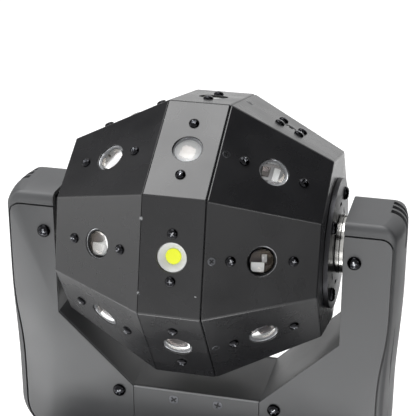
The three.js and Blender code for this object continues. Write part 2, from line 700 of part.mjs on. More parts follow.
// Cross-section of an arm across the lamp: flat sides and a rounded top
function archShape(half, top, radius, bottom) {
  const shape = new THREE.Shape();
  shape.moveTo(half, bottom);
  lineAndArc(shape, half - radius, top - radius, radius, 0, Math.PI / 2);
  shape.absarc(radius - half, top - radius, radius, Math.PI / 2, Math.PI);
  shape.lineTo(-half, bottom);
  return shape;
}

function deckHeight() {
  return -YOKE_DROP + BOTTOM_SHEET;
}

function shelfHeight() {
  return pulleyBase() + PULLEY_LENGTH + 3 * GAP;
}

// Underside of both pan pulleys
function pulleyBase() {
  return deckHeight() + 2 * GAP;
}

const COVER_HALF = YOKE_FRONT - PLATE - GAP - COVER_LEDGE;

function frameSheet(top) {
  const inner = innerLine(0, top);
  const outer = innerLine(FRAME_SHEET, top);
  const rightSide = [...outer].reverse();
  const leftSide = outer.map(([x, z]) => [-x, z]);
  const section = outline([...inner, ...mirroredLine(inner), ...leftSide, ...rightSide]);
  return alongY(section, -FRAME_HALF, FRAME_HALF);
}

// Ears that the plates' screws reach, drawn for the front right and repeated by mirroring
function frameEars() {
  const front = -FRAME_HALF;
  const upper = box(
    ARM_INNER, ARM_INNER + FRAME_SHEET + TAB_LENGTH, front, front + FRAME_SHEET,
    UPPER_SCREW_Z - TAB_HEIGHT / 2, UPPER_SCREW_Z + TAB_HEIGHT / 2,
  );
  const lower = box(
    FLOOR_HALF - FRAME_SHEET, LOWER_SCREW_X + TAB_LENGTH / 2, front, front + FRAME_SHEET,
    LOWER_SCREW_Z - TAB_HEIGHT / 2, -FLOOR_DROP - FRAME_SHEET / 2,
  );
  const middle = box(
    0, PANEL_SCREW_X + TAB_LENGTH / 2, front, front + FRAME_SHEET,
    PANEL_SCREW_Z - TAB_HEIGHT / 2, -FLOOR_DROP - FRAME_SHEET / 2,
  );
  const right = joined(upper, lower, middle).subtract(screwHoles(front));
  const both = right.add(right.mirror([1, 0, 0]));
  return both.add(both.mirror([0, 1, 0]));
}

const PLATE_SCREWS = [[UPPER_SCREW_X, UPPER_SCREW_Z], [LOWER_SCREW_X, LOWER_SCREW_Z]];

function screwHoles(face) {
  const hole = rod(M4_HOLE_RADIUS, face - OVERRUN, face + OVERRUN, TURNED_ON_Y, SCREW_SIDES);
  const places = [...PLATE_SCREWS, [PANEL_SCREW_X, PANEL_SCREW_Z]];
  return joined(...places.map(([x, z]) => moved(hole, x, 0, z)));
}

function yokeFrame() {
  const wallTop = COVER_TOP - COVER_WALL - GAP;
  const deck = deckHeight();
  const arch = archShape(
    COVER_HALF - GAP, wallTop, COVER_TOP_ROUND - COVER_WALL - GAP, -YOKE_DROP,
  );
  const tall = frameSheet(wallTop).intersect(alongX(arch, -COVER_OUTER, COVER_OUTER));
  const wide = frameSheet(PLATE_TOP - LEDGE_WIDTH - GAP);
  const deckEnd = COVER_FOOT_START - GAP;
  const bottom = box(-deckEnd, deckEnd, -FRAME_HALF, FRAME_HALF, -YOKE_DROP, deck);
  const web = box(
    FLOOR_HALF - FRAME_SHEET, FLOOR_HALF, -FRAME_HALF, FRAME_HALF,
    deck - GAP, -FLOOR_DROP - FRAME_SHEET / 2,
  );
  const window = box(
    -FLOOR_HALF - OVERRUN, -FLOOR_HALF + OVERRUN, -WEB_WINDOW_HALF, WEB_WINDOW_HALF,
    deck, shelfHeight(),
  );
  const motorTop = MOTOR_SIZE / 2 + BRACKET_RISE - TILT_MOTOR_DROP;
  const bracket = box(
    BRACKET_FACE - FRAME_SHEET, BRACKET_FACE, -BRACKET_HALF, BRACKET_HALF, deck - GAP, motorTop,
  );
  const shelf = box(
    -SHELF_END, -FLOOR_HALF + FRAME_SHEET / 2, -BRACKET_HALF, BRACKET_HALF,
    shelfHeight(), shelfHeight() + FRAME_SHEET,
  );
  const shelfFoot = box(
    -SHELF_FOOT_X - FRAME_SHEET, -SHELF_FOOT_X, -BRACKET_HALF, BRACKET_HALF,
    deck - GAP, shelfHeight() + GAP,
  );
  const bossHole = rod(MOTOR_BOSS_RADIUS + GAP, -OVERRUN, OVERRUN, TURNED_ON_X);
  const bossWell = rod(MOTOR_BOSS_RADIUS + GAP, shelfHeight() - GAP, shelfHeight() + OVERRUN, TURNED_ON_Z);
  const bearingHole = rod(BEARING_RADIUS + GAP, -COVER_OUTER, COVER_OUTER, TURNED_ON_X);
  const panHole = rod(PAN_BEARING_RADIUS + GAP, -YOKE_DROP - OVERRUN, deck + GAP, TURNED_ON_Z);
  return joined(tall, wide, bottom, web, web.mirror([1, 0, 0]), bracket, shelf, shelfFoot, frameEars())
    .subtract(window)
    .subtract(moved(bossHole, BRACKET_FACE, 0, -TILT_MOTOR_DROP))
    .subtract(moved(bossWell, -PAN_MOTOR_REACH, 0, 0))
    .subtract(bearingHole)
    .subtract(panHole);
}

// Outer edge of an arm plate in X, Z, from its top down to its foot, moved outwards by a margin
function plateEdge(shape, margin) {
  const corner = PLATE_CORNER + margin;
  const foot = PLATE_FOOT_CORNER + margin;
  const outer = PLATE_OUTER + margin;
  const waist = PLATE_WAIST + margin;
  const middle = -(WAIST_START + WAIST_END) / 2;
  lineAndArc(shape, outer - corner, PLATE_TOP + margin - corner, corner, Math.PI / 2, 0, true);
  shape.lineTo(outer, -WAIST_START);
  shape.bezierCurveTo(outer, middle, waist, middle, waist, -WAIST_END);
  shape.absarc(waist - foot, -YOKE_DROP + foot - margin, foot, 0, -Math.PI / 2, true);
}

function armPlateShape() {
  const seam = SEAM_HALF + GAP / 2;
  const shape = new THREE.Shape();
  shape.moveTo(ARM_INNER, PLATE_TOP);
  plateEdge(shape, 0);
  shape.lineTo(seam, -YOKE_DROP);
  shape.lineTo(seam, -FLOOR_DROP);
  shape.lineTo(FLOOR_HALF, -FLOOR_DROP);
  shape.lineTo(ARM_INNER, -SLOPE_TOP);
  return shape;
}

// The rear plate covers both arms and the crossbar in one piece
function rearPlateShape() {
  const edge = new THREE.Shape();
  edge.moveTo(ARM_INNER, PLATE_TOP);
  plateEdge(edge, 0);
  const outside = edge.getPoints(ARC_STEPS).slice(1).map((p) => [p.x, p.y]);
  const right = [...innerLine(0, PLATE_TOP).reverse(), ...outside];
  return outline([...right, ...mirroredLine(right)]);
}

// The arm side of a plate as a cutter, reaching past the arm's inner face
function plateCutter(margin, from, to) {
  const shape = new THREE.Shape();
  shape.moveTo(ARM_INNER - OVERRUN, PLATE_TOP + margin);
  plateEdge(shape, margin);
  shape.lineTo(ARM_INNER - OVERRUN, -YOKE_DROP - margin);
  return alongY(shape, from, to);
}

function coverHull(inset) {
  const top = COVER_TOP - inset;
  const outer = COVER_OUTER - inset;
  const waist = COVER_WAIST - inset;
  const corner = COVER_CORNER - inset;
  const footCorner = COVER_FOOT_CORNER - inset;
  const foot = -YOKE_DROP + inset;
  const middle = -(WAIST_START + WAIST_END) / 2;
  const start = inset > 0 ? -OVERRUN : 0;
  const side = new THREE.Shape();
  side.moveTo(ARM_INNER + start, top);
  lineAndArc(side, outer - corner, top - corner, corner, Math.PI / 2, 0, true);
  side.lineTo(outer, -WAIST_START);
  side.bezierCurveTo(outer, middle, waist, middle, waist, -WAIST_END);
  side.absarc(COVER_FOOT, foot + footCorner, footCorner, 0, -Math.PI / 2, true);
  side.lineTo(COVER_FOOT_START + start, foot);
  side.lineTo(COVER_FOOT_START + start, -FLOOR_DROP);
  side.lineTo(ARM_INNER + start, -FLOOR_DROP);
  const crown = new THREE.Shape();
  const radius = COVER_CROWN_RADIUS - inset;
  const half = Math.asin(YOKE_FRONT / radius);
  crown.moveTo(ARM_INNER - 2 * OVERRUN, -YOKE_FRONT);
  lineAndArc(crown, COVER_OUTER - COVER_CROWN_RADIUS, 0, radius, -half, half);
  crown.lineTo(ARM_INNER - 2 * OVERRUN, YOKE_FRONT);
  const arch = inset > 0
    ? archShape(COVER_HALF, top, COVER_TOP_ROUND - inset, -YOKE_DROP - OVERRUN)
    : archShape(YOKE_FRONT, top, COVER_TOP_ROUND, -YOKE_DROP - OVERRUN);
  return alongY(side, -YOKE_FRONT, YOKE_FRONT)
    .intersect(alongZ(crown, -YOKE_DROP - OVERRUN, COVER_TOP + OVERRUN, COVER_STEPS))
    .intersect(alongX(arch, ARM_INNER - 2 * OVERRUN, COVER_OUTER + OVERRUN));
}

function armCover() {
  const seat = YOKE_FRONT - PLATE - GAP;
  const past = YOKE_FRONT + OVERRUN;
  let cover = coverHull(0)
    .subtract(coverHull(COVER_WALL))
    .subtract(plateCutter(RUNNING_GAP, -past, -seat))
    .subtract(plateCutter(RUNNING_GAP, seat, past))
    .subtract(plateCutter(-LEDGE_WIDTH, -past, past));
  for (let i = 0; i < VENT_SLOTS; i += 1) {
    const y = (i - (VENT_SLOTS - 1) / 2) * VENT_PITCH;
    const slot = box(
      COVER_OUTER - VENT_REACH, COVER_OUTER + OVERRUN, y - VENT_WIDTH / 2, y + VENT_WIDTH / 2,
      VENT_FOOT, COVER_TOP + OVERRUN,
    );
    cover = cover.subtract(slot);
  }
  const flute = outline([
    [-FLUTE_CENTRE, -FLUTE_TOP], [-FLUTE_CENTRE + FLUTE_WIDTH / 2, -YOKE_DROP],
    [-FLUTE_CENTRE - FLUTE_WIDTH / 2, -YOKE_DROP],
  ]);
  const crownRise = Math.sqrt(COVER_CROWN_RADIUS ** 2 - FLUTE_CENTRE ** 2);
  const crownAt = COVER_OUTER - COVER_CROWN_RADIUS + crownRise;
  const groove = alongX(flute, crownAt - FLUTE_DEPTH, COVER_OUTER + OVERRUN);
  return cover.subtract(groove).subtract(groove.mirror([0, 1, 0]));
}

// A plate with its screws, at the front: outer face on the yoke's front
function facePlate(shape, places, fastener) {
  const plate = alongY(shape, -YOKE_FRONT, -YOKE_FRONT + PLATE);
  return joined(plate, ...places.map(([x, z]) => moved(fastener, x, -YOKE_FRONT, z)));
}

function plateScrew() {
  const tip = PLATE + GAP + FRAME_SHEET;
  return screw(M4_SHANK_RADIUS, M4_HEAD_RADIUS, M4_HEAD_RISE, tip, 0, TURNED_ON_Y);
}

function panelScrew() {
  const tip = PLATE + GAP + FRAME_SHEET;
  return rod(M4_SHANK_RADIUS, PLATE / 2, tip, TURNED_ON_Y, SCREW_SIDES);
}

function yokePanels() {
  const right = facePlate(armPlateShape(), PLATE_SCREWS, plateScrew());
  piece(yoke, 'arm_plate_front_right', right, ...POWDER_COAT);
  piece(yoke, 'arm_plate_front_left', right.mirror([1, 0, 0]), ...POWDER_COAT);
  const seam = SEAM_HALF - GAP / 2;
  const middle = box(-seam, seam, -YOKE_FRONT, -YOKE_FRONT + PLATE, -YOKE_DROP, -FLOOR_DROP);
  const sink = turned([
    [0, -OVERRUN], [CSK_RADIUS, -OVERRUN], [CSK_RADIUS, 0], [CSK_RADIUS - CSK_DEPTH, CSK_DEPTH / 2],
    [0, CSK_DEPTH / 2],
  ], TURNED_ON_Y, SCREW_SIDES);
  const places = [[-PANEL_SCREW_X, PANEL_SCREW_Z], [PANEL_SCREW_X, PANEL_SCREW_Z]];
  let front = middle;
  for (const [x, z] of places) {
    front = front.add(moved(panelScrew(), x, -YOKE_FRONT, z)).subtract(moved(sink, x, -YOKE_FRONT, z));
  }
  piece(yoke, 'yoke_panel_front', front, ...POWDER_COAT);
  const everyPlace = [...PLATE_SCREWS, ...mirroredLine(PLATE_SCREWS)];
  const rear = facePlate(rearPlateShape(), everyPlace, plateScrew()).mirror([0, 1, 0]);
  piece(yoke, 'yoke_plate_rear', rear, ...POWDER_COAT);
}

function tiltBearing() {
  const bore = JOURNAL_RADIUS + RUNNING_GAP;
  return turned([
    [bore, BEARING_START], [BEARING_FLANGE_RADIUS, BEARING_START], [BEARING_FLANGE_RADIUS, BEARING_SEAT],
    [BEARING_RADIUS, BEARING_SEAT], [BEARING_RADIUS, BEARING_END],
    [bore, BEARING_END],
  ], TURNED_ON_X);
}

// Stepper motor with its shaft along the outline's axis: face at zero, shaft reaching out
function motor(frame, push, reach) {
  const half = MOTOR_SIZE / 2;
  const cut = half - MOTOR_CHAMFER;
  const section = outline([
    [half, cut], [cut, half], [-cut, half], [-half, cut],
    [-half, -cut], [-cut, -half], [cut, -half], [half, -cut],
  ]);
  const shaft = rod(MOTOR_SHAFT_RADIUS, -GAP, reach, frame, SMALL_SIDES);
  const boss = rod(MOTOR_BOSS_RADIUS, -GAP, MOTOR_BOSS, frame);
  return joined(push(section, -MOTOR_LENGTH, 0), boss, shaft);
}

// Belt round two wheels, the large one at the origin and the small one a distance below it
function beltShape(distance, largeRadius, smallRadius) {
  const lean = -Math.asin((largeRadius - smallRadius) / distance);
  const loop = (shape, grow) => {
    shape.absarc(0, 0, largeRadius + grow, lean, Math.PI - lean, false);
    shape.absarc(0, -distance, smallRadius + grow, Math.PI - lean, 2 * Math.PI + lean, false);
    return shape;
  };
  const shape = loop(new THREE.Shape(), GAP + BELT_THICKNESS);
  shape.holes.push(loop(new THREE.Path(), GAP));
  return shape;
}

function yokeWorks() {
  piece(yoke, 'yoke_frame', yokeFrame(), ...POWDER_COAT);
  piece(yoke, 'arm_cover_right', armCover(), ...BLACK_ABS);
  piece(yoke, 'arm_cover_left', armCover().mirror([1, 0, 0]), ...BLACK_ABS);
  yokePanels();
  piece(yoke, 'tilt_bearing_right', tiltBearing(), ...BEARING_STEEL);
  piece(yoke, 'tilt_bearing_left', mirroredTo(-1, tiltBearing()), ...BEARING_STEEL);
  const beltSide = PULLEY_FLANGE + BELT_SIDE_GAP;
  const tiltFace = BRACKET_FACE - FRAME_SHEET - GAP;
  const tiltMotor = motor(TURNED_ON_X, alongX, TILT_PULLEY_START + PULLEY_LENGTH - tiltFace);
  piece(yoke, 'tilt_motor', moved(tiltMotor, tiltFace, 0, -TILT_MOTOR_DROP), ...BLACK_STEEL);
  const tiltBelt = beltShape(TILT_MOTOR_DROP, TILT_PULLEY_RADIUS, MOTOR_PULLEY_RADIUS);
  const beltStart = TILT_PULLEY_START + beltSide;
  piece(yoke, 'tilt_belt', alongX(tiltBelt, beltStart, beltStart + BELT_WIDTH, BELT_STEPS), ...RUBBER);
  const panFace = shelfHeight() + FRAME_SHEET + GAP;
  const panMotor = motor(TURNED_ON_Z, alongZ, panFace - pulleyBase()).rotate([180, 0, 0]);
  piece(yoke, 'pan_motor', moved(panMotor, -PAN_MOTOR_REACH, 0, panFace), ...BLACK_STEEL);
  const panBelt = beltShape(PAN_MOTOR_REACH, PAN_PULLEY_RADIUS, MOTOR_PULLEY_RADIUS);
  const panStart = pulleyBase() + beltSide;
  const turnedBelt = alongZ(panBelt, panStart, panStart + BELT_WIDTH, BELT_STEPS).rotate([0, 0, -90]);
  piece(yoke, 'pan_belt', turnedBelt, ...RUBBER);
  const tiltPinion = turned(
    pulleyProfile(MOTOR_PULLEY_RADIUS, MOTOR_SHAFT_RADIUS + RUNNING_GAP, TILT_PULLEY_START),
    TURNED_ON_X, SMALL_SIDES,
  );
  piece(yoke, 'tilt_motor_pulley', moved(tiltPinion, 0, 0, -TILT_MOTOR_DROP), ...ALUMINIUM);
  const panPinion = turned(
    pulleyProfile(MOTOR_PULLEY_RADIUS, MOTOR_SHAFT_RADIUS + RUNNING_GAP, pulleyBase()),
    TURNED_ON_Z, SMALL_SIDES,
  );
  piece(yoke, 'pan_motor_pulley', moved(panPinion, -PAN_MOTOR_REACH, 0, 0), ...ALUMINIUM);
}

function panBearing() {
  const bore = SPINDLE_RADIUS + RUNNING_GAP;
  const top = pulleyBase() - GAP;
  const seat = -YOKE_DROP - GAP;
  return turned([
    [bore, seat - PAN_BEARING_FLANGE], [PAN_BEARING_FLANGE_RADIUS, seat - PAN_BEARING_FLANGE],
    [PAN_BEARING_FLANGE_RADIUS, seat], [PAN_BEARING_RADIUS, seat], [PAN_BEARING_RADIUS, top], [bore, top],
  ], TURNED_ON_Z);
}

function slipRing() {
  const shaftEnd = HUB_END + LEFT_JOURNAL_LENGTH;
  const plate = shaftEnd + GAP;
  const body = rod(SLIP_RING_RADIUS, plate, plate + SLIP_RING_LENGTH, TURNED_ON_X);
  const half = SLIP_PLATE_WIDTH / 2;
  const bracket = box(plate, plate + SLIP_PLATE, -half, half, -SLIP_LEG_REACH, 0);
  const leg = box(
    ARM_INNER + FRAME_SHEET + GAP, plate + GAP, -half, half,
    -SLIP_LEG_REACH, SLIP_LEG_HEIGHT - SLIP_LEG_REACH,
  );
  return mirroredTo(-1, joined(body, bracket, leg));
}

function panSpindle() {
  const ground = -YOKE_DROP - PAN_GAP;
  const flange = ground + GAP;
  const wheel = pulleyProfile(PAN_PULLEY_RADIUS, SPINDLE_BORE_RADIUS, pulleyBase());
  return turned([
    [SPINDLE_BORE_RADIUS, ground - SPINDLE_TAIL], [SPINDLE_RADIUS, ground - SPINDLE_TAIL],
    [SPINDLE_RADIUS, flange], [SPINDLE_FLANGE_RADIUS, flange],
    [SPINDLE_FLANGE_RADIUS, flange + SPINDLE_FLANGE],
    [SPINDLE_RADIUS, flange + SPINDLE_FLANGE], [SPINDLE_RADIUS, pulleyBase()], ...wheel.slice(1),
  ], TURNED_ON_Z);
}

function panWorks() {
  piece(yoke, 'pan_bearing', panBearing(), ...BEARING_STEEL);
  piece(yoke, 'slip_ring', slipRing(), ...BLACK_ABS);
  piece(yoke, 'pan_spindle', panSpindle(), ...ALUMINIUM);
}

// Base, standing on the ground
const base = new THREE.Group();
lamp.add(base);

// Half the base's width at a height: its ends lean inwards
function baseHalf(height) {
  const leanShare = (BASE_WIDTH - BASE_TOP_WIDTH) / 2 / (BASE_HEIGHT - BASE_TOP_ROUND);
  return BASE_WIDTH / 2 - (height - FOOT_HEIGHT) * leanShare;
}

function baseHull(inset, bottom) {
  const plan = roundedRectangle(BASE_WIDTH - 2 * inset, BASE_DEPTH - 2 * inset, BASE_CORNER - inset);
  const top = BASE_TOP - inset;
  const round = BASE_TOP_ROUND - inset;
  const shoulder = BASE_TOP_WIDTH / 2 - inset;
  const end = new THREE.Shape();
  end.moveTo(baseHalf(bottom) - inset, bottom);
  lineAndArc(end, shoulder - round, top - round, round, 0, Math.PI / 2);
  end.absarc(round - shoulder, top - round, round, Math.PI / 2, Math.PI);
  end.lineTo(inset - baseHalf(bottom), bottom);
  const side = archShape(BASE_DEPTH / 2 - inset, top, round, bottom);
  return alongZ(plan, bottom, top)
    .intersect(alongY(end, -BASE_DEPTH, BASE_DEPTH))
    .intersect(alongX(side, -BASE_WIDTH, BASE_WIDTH));
}

function buttonX(i) {
  return FIRST_BUTTON_X + i * BUTTON_PITCH;
}

function baseCover() {
  const front = -BASE_DEPTH / 2;
  const rear = BASE_DEPTH / 2;
  let cover = baseHull(0, FOOT_HEIGHT).subtract(baseHull(BASE_WALL, FOOT_HEIGHT - OVERRUN));
  const display = box(
    DISPLAY_X - DISPLAY_WIDTH / 2 - GAP, DISPLAY_X + DISPLAY_WIDTH / 2 + GAP,
    front - OVERRUN, front + OVERRUN,
    DISPLAY_Z - DISPLAY_HEIGHT / 2 - GAP, DISPLAY_Z + DISPLAY_HEIGHT / 2 + GAP,
  );
  cover = cover.subtract(display);
  const hole = rod(BUTTON_RADIUS + RUNNING_GAP, front - OVERRUN, front + OVERRUN, TURNED_ON_Y, SMALL_SIDES);
  for (let i = 0; i < BUTTONS; i += 1) {
    cover = cover.subtract(moved(hole, buttonX(i), 0, DISPLAY_Z));
  }
  const rearWindow = box(
    -REAR_PANEL_WIDTH / 2, REAR_PANEL_WIDTH / 2, rear - OVERRUN, rear + OVERRUN,
    REAR_PANEL_Z - REAR_PANEL_HEIGHT / 2, REAR_PANEL_Z + REAR_PANEL_HEIGHT / 2,
  );
  const spindleHole = rod(SPINDLE_RADIUS + GAP, BASE_TOP - OVERRUN, BASE_TOP + OVERRUN, TURNED_ON_Z);
  return cover.subtract(rearWindow).subtract(spindleHole);
}

function baseTray() {
  const inset = BASE_WALL + GAP;
  const plan = roundedRectangle(BASE_WIDTH - 2 * inset, BASE_DEPTH - 2 * inset, BASE_CORNER - inset);
  const halfWidth = baseHalf(FOOT_HEIGHT + TRAY) - inset;
  const sheet = alongZ(plan, FOOT_HEIGHT, FOOT_HEIGHT + TRAY)
    .intersect(box(-halfWidth, halfWidth, -BASE_DEPTH, BASE_DEPTH, 0, BASE_TOP));
  const foot = rod(FOOT_RADIUS, 0, FOOT_HEIGHT + GAP, TURNED_ON_Z, SMALL_SIDES);
  const hole = rod(CLAMP_HOLE_RADIUS, 0, BASE_TOP, TURNED_ON_Z, SMALL_SIDES);
  let tray = sheet;
  for (const side of [-1, 1]) {
    for (const end of [-1, 1]) {
      const x = side * (BASE_WIDTH / 2 - FOOT_INSET_X);
      tray = tray.add(moved(foot, x, end * (BASE_DEPTH / 2 - FOOT_INSET_Y), 0));
    }
    tray = tray.subtract(moved(hole, side * CLAMP_PITCH / 2, 0, 0));
  }
  return tray;
}

function displayModule() {
  const front = -BASE_DEPTH / 2;
  const back = front + BASE_WALL + GAP;
  const halfWidth = DISPLAY_WIDTH / 2;
  const halfHeight = DISPLAY_HEIGHT / 2;
  const screen = box(
    DISPLAY_X - halfWidth, DISPLAY_X + halfWidth, front + GAP, front + DISPLAY_DEPTH,
    DISPLAY_Z - halfHeight, DISPLAY_Z + halfHeight,
  );
  const bezel = box(
    DISPLAY_X - halfWidth - DISPLAY_BEZEL, DISPLAY_X + halfWidth + DISPLAY_BEZEL,
    back, back + DISPLAY_BOARD,
    DISPLAY_Z - halfHeight - DISPLAY_BEZEL, DISPLAY_Z + halfHeight + DISPLAY_BEZEL,
  );
  const boardFace = front + DISPLAY_DEPTH - GAP;
  const board = box(
    DISPLAY_X - halfWidth - DISPLAY_BEZEL, buttonX(BUTTONS - 1) + BUTTON_PITCH / 2,
    boardFace, boardFace + DISPLAY_BOARD, DISPLAY_Z - halfHeight, DISPLAY_Z + halfHeight,
  );
  return joined(screen, bezel, board);
}

function menuButton() {
  const front = -BASE_DEPTH / 2;
  const inside = front + BASE_WALL + GAP;
  const stem = inside + BUTTON_COLLAR + BUTTON_STEM;
  return turned([
    [0, front - BUTTON_RISE], [BUTTON_RADIUS, front - BUTTON_RISE], [BUTTON_RADIUS, inside],
    [BUTTON_COLLAR_RADIUS, inside], [BUTTON_COLLAR_RADIUS, inside + BUTTON_COLLAR],
    [BUTTON_STEM_RADIUS, inside + BUTTON_COLLAR], [BUTTON_STEM_RADIUS, stem], [0, stem],
  ], TURNED_ON_Y, SMALL_SIDES);
}

function connectorPanel() {
  const inner = BASE_DEPTH / 2 - BASE_WALL - GAP;
  const back = inner - REAR_SHEET;
  const halfWidth = REAR_PANEL_WIDTH / 2 + REAR_PANEL_LAP;
  const halfHeight = REAR_PANEL_HEIGHT / 2 + REAR_PANEL_LAP;
  let panel = box(-halfWidth, halfWidth, back, inner, REAR_PANEL_Z - halfHeight, REAR_PANEL_Z + halfHeight);
  for (const x of [XLR_X, XLR_X + XLR_PITCH]) {
    const flange = box(
      x - XLR_FLANGE_WIDTH / 2, x + XLR_FLANGE_WIDTH / 2, inner - GAP, inner + XLR_FLANGE,
      REAR_PANEL_Z - XLR_FLANGE_HEIGHT / 2, REAR_PANEL_Z + XLR_FLANGE_HEIGHT / 2,
    );
    const barrel = rod(XLR_RADIUS, inner - XLR_DEPTH, inner, TURNED_ON_Y);
    const well = rod(XLR_RADIUS - XLR_WALL, inner - XLR_DEPTH + XLR_WALL, inner + OVERRUN, TURNED_ON_Y);
    panel = joined(panel, flange, moved(barrel, x, 0, REAR_PANEL_Z))
      .subtract(moved(well, x, 0, REAR_PANEL_Z));
  }
  const fuse = rod(FUSE_RADIUS, inner - FUSE_DEPTH, inner + FUSE_RISE, TURNED_ON_Y, SMALL_SIDES);
  const inlet = inletBlock(GAP, inner - INLET_DEPTH, inner + OVERRUN);
  return panel.add(moved(fuse, FUSE_X, 0, REAR_PANEL_Z)).subtract(inlet);
}

function inletBlock(margin, from, to) {
  const halfWidth = INLET_WIDTH / 2 + margin;
  const halfHeight = INLET_HEIGHT / 2 + margin;
  return box(
    INLET_X - halfWidth, INLET_X + halfWidth, from, to,
    REAR_PANEL_Z - halfHeight, REAR_PANEL_Z + halfHeight,
  );
}

function powerInlet() {
  const face = BASE_DEPTH / 2 - BASE_WALL;
  const lip = inletBlock(INLET_LIP, face, face + INLET_LIP_THICKNESS);
  const body = inletBlock(0, face - INLET_DEPTH, face + GAP);
  const well = inletBlock(-INLET_WALL, face - INLET_DEPTH + INLET_WALL, face + OVERRUN);
  const root = face - INLET_DEPTH + INLET_WALL - GAP;
  const pin = box(
    -INLET_PIN / 2, INLET_PIN / 2, root, root + INLET_PIN_LENGTH,
    REAR_PANEL_Z - INLET_PIN, REAR_PANEL_Z + INLET_PIN,
  );
  const pins = [-1, 0, 1].map((i) => moved(pin, INLET_X + i * INLET_PIN_PITCH, 0, 0));
  return joined(joined(lip, body).subtract(well), ...pins);
}

function powerSupply() {
  const floor = FOOT_HEIGHT + TRAY + GAP;
  const deck = floor + SUPPLY_POST;
  const halfLength = SUPPLY_LENGTH / 2;
  const halfWidth = SUPPLY_WIDTH / 2;
  let cage = box(-halfLength, halfLength, -halfWidth, halfWidth, deck, deck + SUPPLY_HEIGHT)
    .subtract(box(
      -halfLength - OVERRUN, halfLength - SUPPLY_WALL, SUPPLY_WALL - halfWidth, halfWidth - SUPPLY_WALL,
      deck + SUPPLY_WALL, deck + SUPPLY_HEIGHT - SUPPLY_WALL,
    ));
  const reach = SUPPLY_WIDTH * SUPPLY_SLOT_REACH_SHARE;
  const slots = Math.floor(SUPPLY_LENGTH / 2 / SUPPLY_SLOT_PITCH);
  for (let i = 0; i < slots; i += 1) {
    const x = (i - (slots - 1) / 2) * SUPPLY_SLOT_PITCH;
    cage = cage.subtract(box(
      x - SUPPLY_SLOT_WIDTH / 2, x + SUPPLY_SLOT_WIDTH / 2, -reach, reach,
      deck + SUPPLY_WALL, deck + SUPPLY_HEIGHT + OVERRUN,
    ));
  }
  const post = rod(SUPPLY_POST_RADIUS, floor, deck + GAP, TURNED_ON_Z, SCREW_SIDES);
  const posts = CORNERS.map(([u, v]) => moved(
    post, u * (halfLength - SUPPLY_POST_RADIUS), v * (halfWidth - SUPPLY_POST_RADIUS), 0,
  ));
  return joined(cage, ...posts);
}

function baseWorks() {
  piece(base, 'base_cover', baseCover(), ...BLACK_ABS);
  piece(base, 'base_tray', baseTray(), ...POWDER_COAT);
  piece(base, 'display_module', displayModule(), ...BLACK_STEEL);
  for (let i = 0; i < BUTTONS; i += 1) {
    const button = piece(base, `menu_button_${i + 1}`, menuButton(), ...BUTTON_GREY);
    button.position.set(buttonX(i), 0, DISPLAY_Z);
  }
  piece(base, 'connector_panel', connectorPanel(), ...POWDER_COAT);
  piece(base, 'power_inlet', powerInlet(), ...BLACK_ABS);
  piece(base, 'power_supply', powerSupply(), ...ZINC_STEEL);
}

headShells();
lampModules();
headWorks();
driverBoard();
yokeWorks();
panWorks();
baseWorks();

export default lamp;
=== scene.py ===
# %% [markdown]
# # A football moving head light
# A stage lamp whose eight-sided head of lenses turns without end between two yoke arms, on a base
# that the yoke pans on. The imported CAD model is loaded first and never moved, and each part that
# shows is then built finer around it, in the same place.

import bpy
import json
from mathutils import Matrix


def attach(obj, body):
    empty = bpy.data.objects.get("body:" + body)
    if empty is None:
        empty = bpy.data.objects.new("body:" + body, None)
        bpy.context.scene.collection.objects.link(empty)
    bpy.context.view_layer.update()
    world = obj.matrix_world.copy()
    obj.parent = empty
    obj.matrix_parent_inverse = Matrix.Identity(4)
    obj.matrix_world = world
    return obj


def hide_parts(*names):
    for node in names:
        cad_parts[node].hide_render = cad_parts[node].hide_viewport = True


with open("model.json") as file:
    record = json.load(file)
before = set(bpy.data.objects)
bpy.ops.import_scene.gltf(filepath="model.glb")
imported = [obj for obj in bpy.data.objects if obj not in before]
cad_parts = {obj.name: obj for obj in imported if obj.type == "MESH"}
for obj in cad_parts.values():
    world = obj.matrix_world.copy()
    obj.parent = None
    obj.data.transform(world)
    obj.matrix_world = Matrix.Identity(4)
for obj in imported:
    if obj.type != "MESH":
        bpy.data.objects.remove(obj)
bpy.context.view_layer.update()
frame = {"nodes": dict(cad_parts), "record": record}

# %% [markdown]
# ## Units and hands
# Blender works in metres and a maker in millimetres, so sizes are written in millimetres and
# multiplied once. An operator acts on all that is selected, and loading leaves the CAD nodes
# selected, so each step lets everything go and then takes what it needs.

# %% Units and selecting
import json
import math

import bpy
from mathutils import Matrix, Vector

MM = 0.001


def let_go():
    """Leaves edit mode and deselects everything."""
    active = bpy.context.view_layer.objects.active
    if active and active.mode != "OBJECT":
        bpy.ops.object.mode_set(mode="OBJECT")
    bpy.ops.object.select_all(action="DESELECT")


def take(*pieces):
    """Selects these pieces and makes the last one active."""
    let_go()
    for piece in pieces:
        piece.select_set(True)
    bpy.context.view_layer.objects.active = pieces[-1]


def edit(piece):
    """Opens a piece in edit mode with all of it selected."""
    take(piece)
    bpy.ops.object.mode_set(mode="EDIT")
    bpy.ops.mesh.select_all(action="SELECT")


# %% [markdown]
# ## Drawing, pushing and turning
# Nearly every part of a lamp is sheet cut to an outline, or a piece turned on a lathe. Both start
# from a line: a plane is merged to one vertex, and each next vertex is extruded from the last, as by
# hand. The line is then filled and pushed into a plate, or spun into a turned piece.

# %% Draw a line
def drawn(name, points):
    """A line through points in millimetres, left open in edit mode."""
    let_go()
    bpy.ops.mesh.primitive_plane_add(size=MM)
    piece = bpy.context.object
    piece.name = name
    edit(piece)
    bpy.ops.mesh.merge(type="CENTER")
    places = [Vector(point) * MM for point in points]
    bpy.ops.transform.translate(value=places[0])
    for here, there in zip(places, places[1:]):
        bpy.ops.mesh.extrude_vertices_move(TRANSFORM_OT_translate={"value": there - here})
    return piece


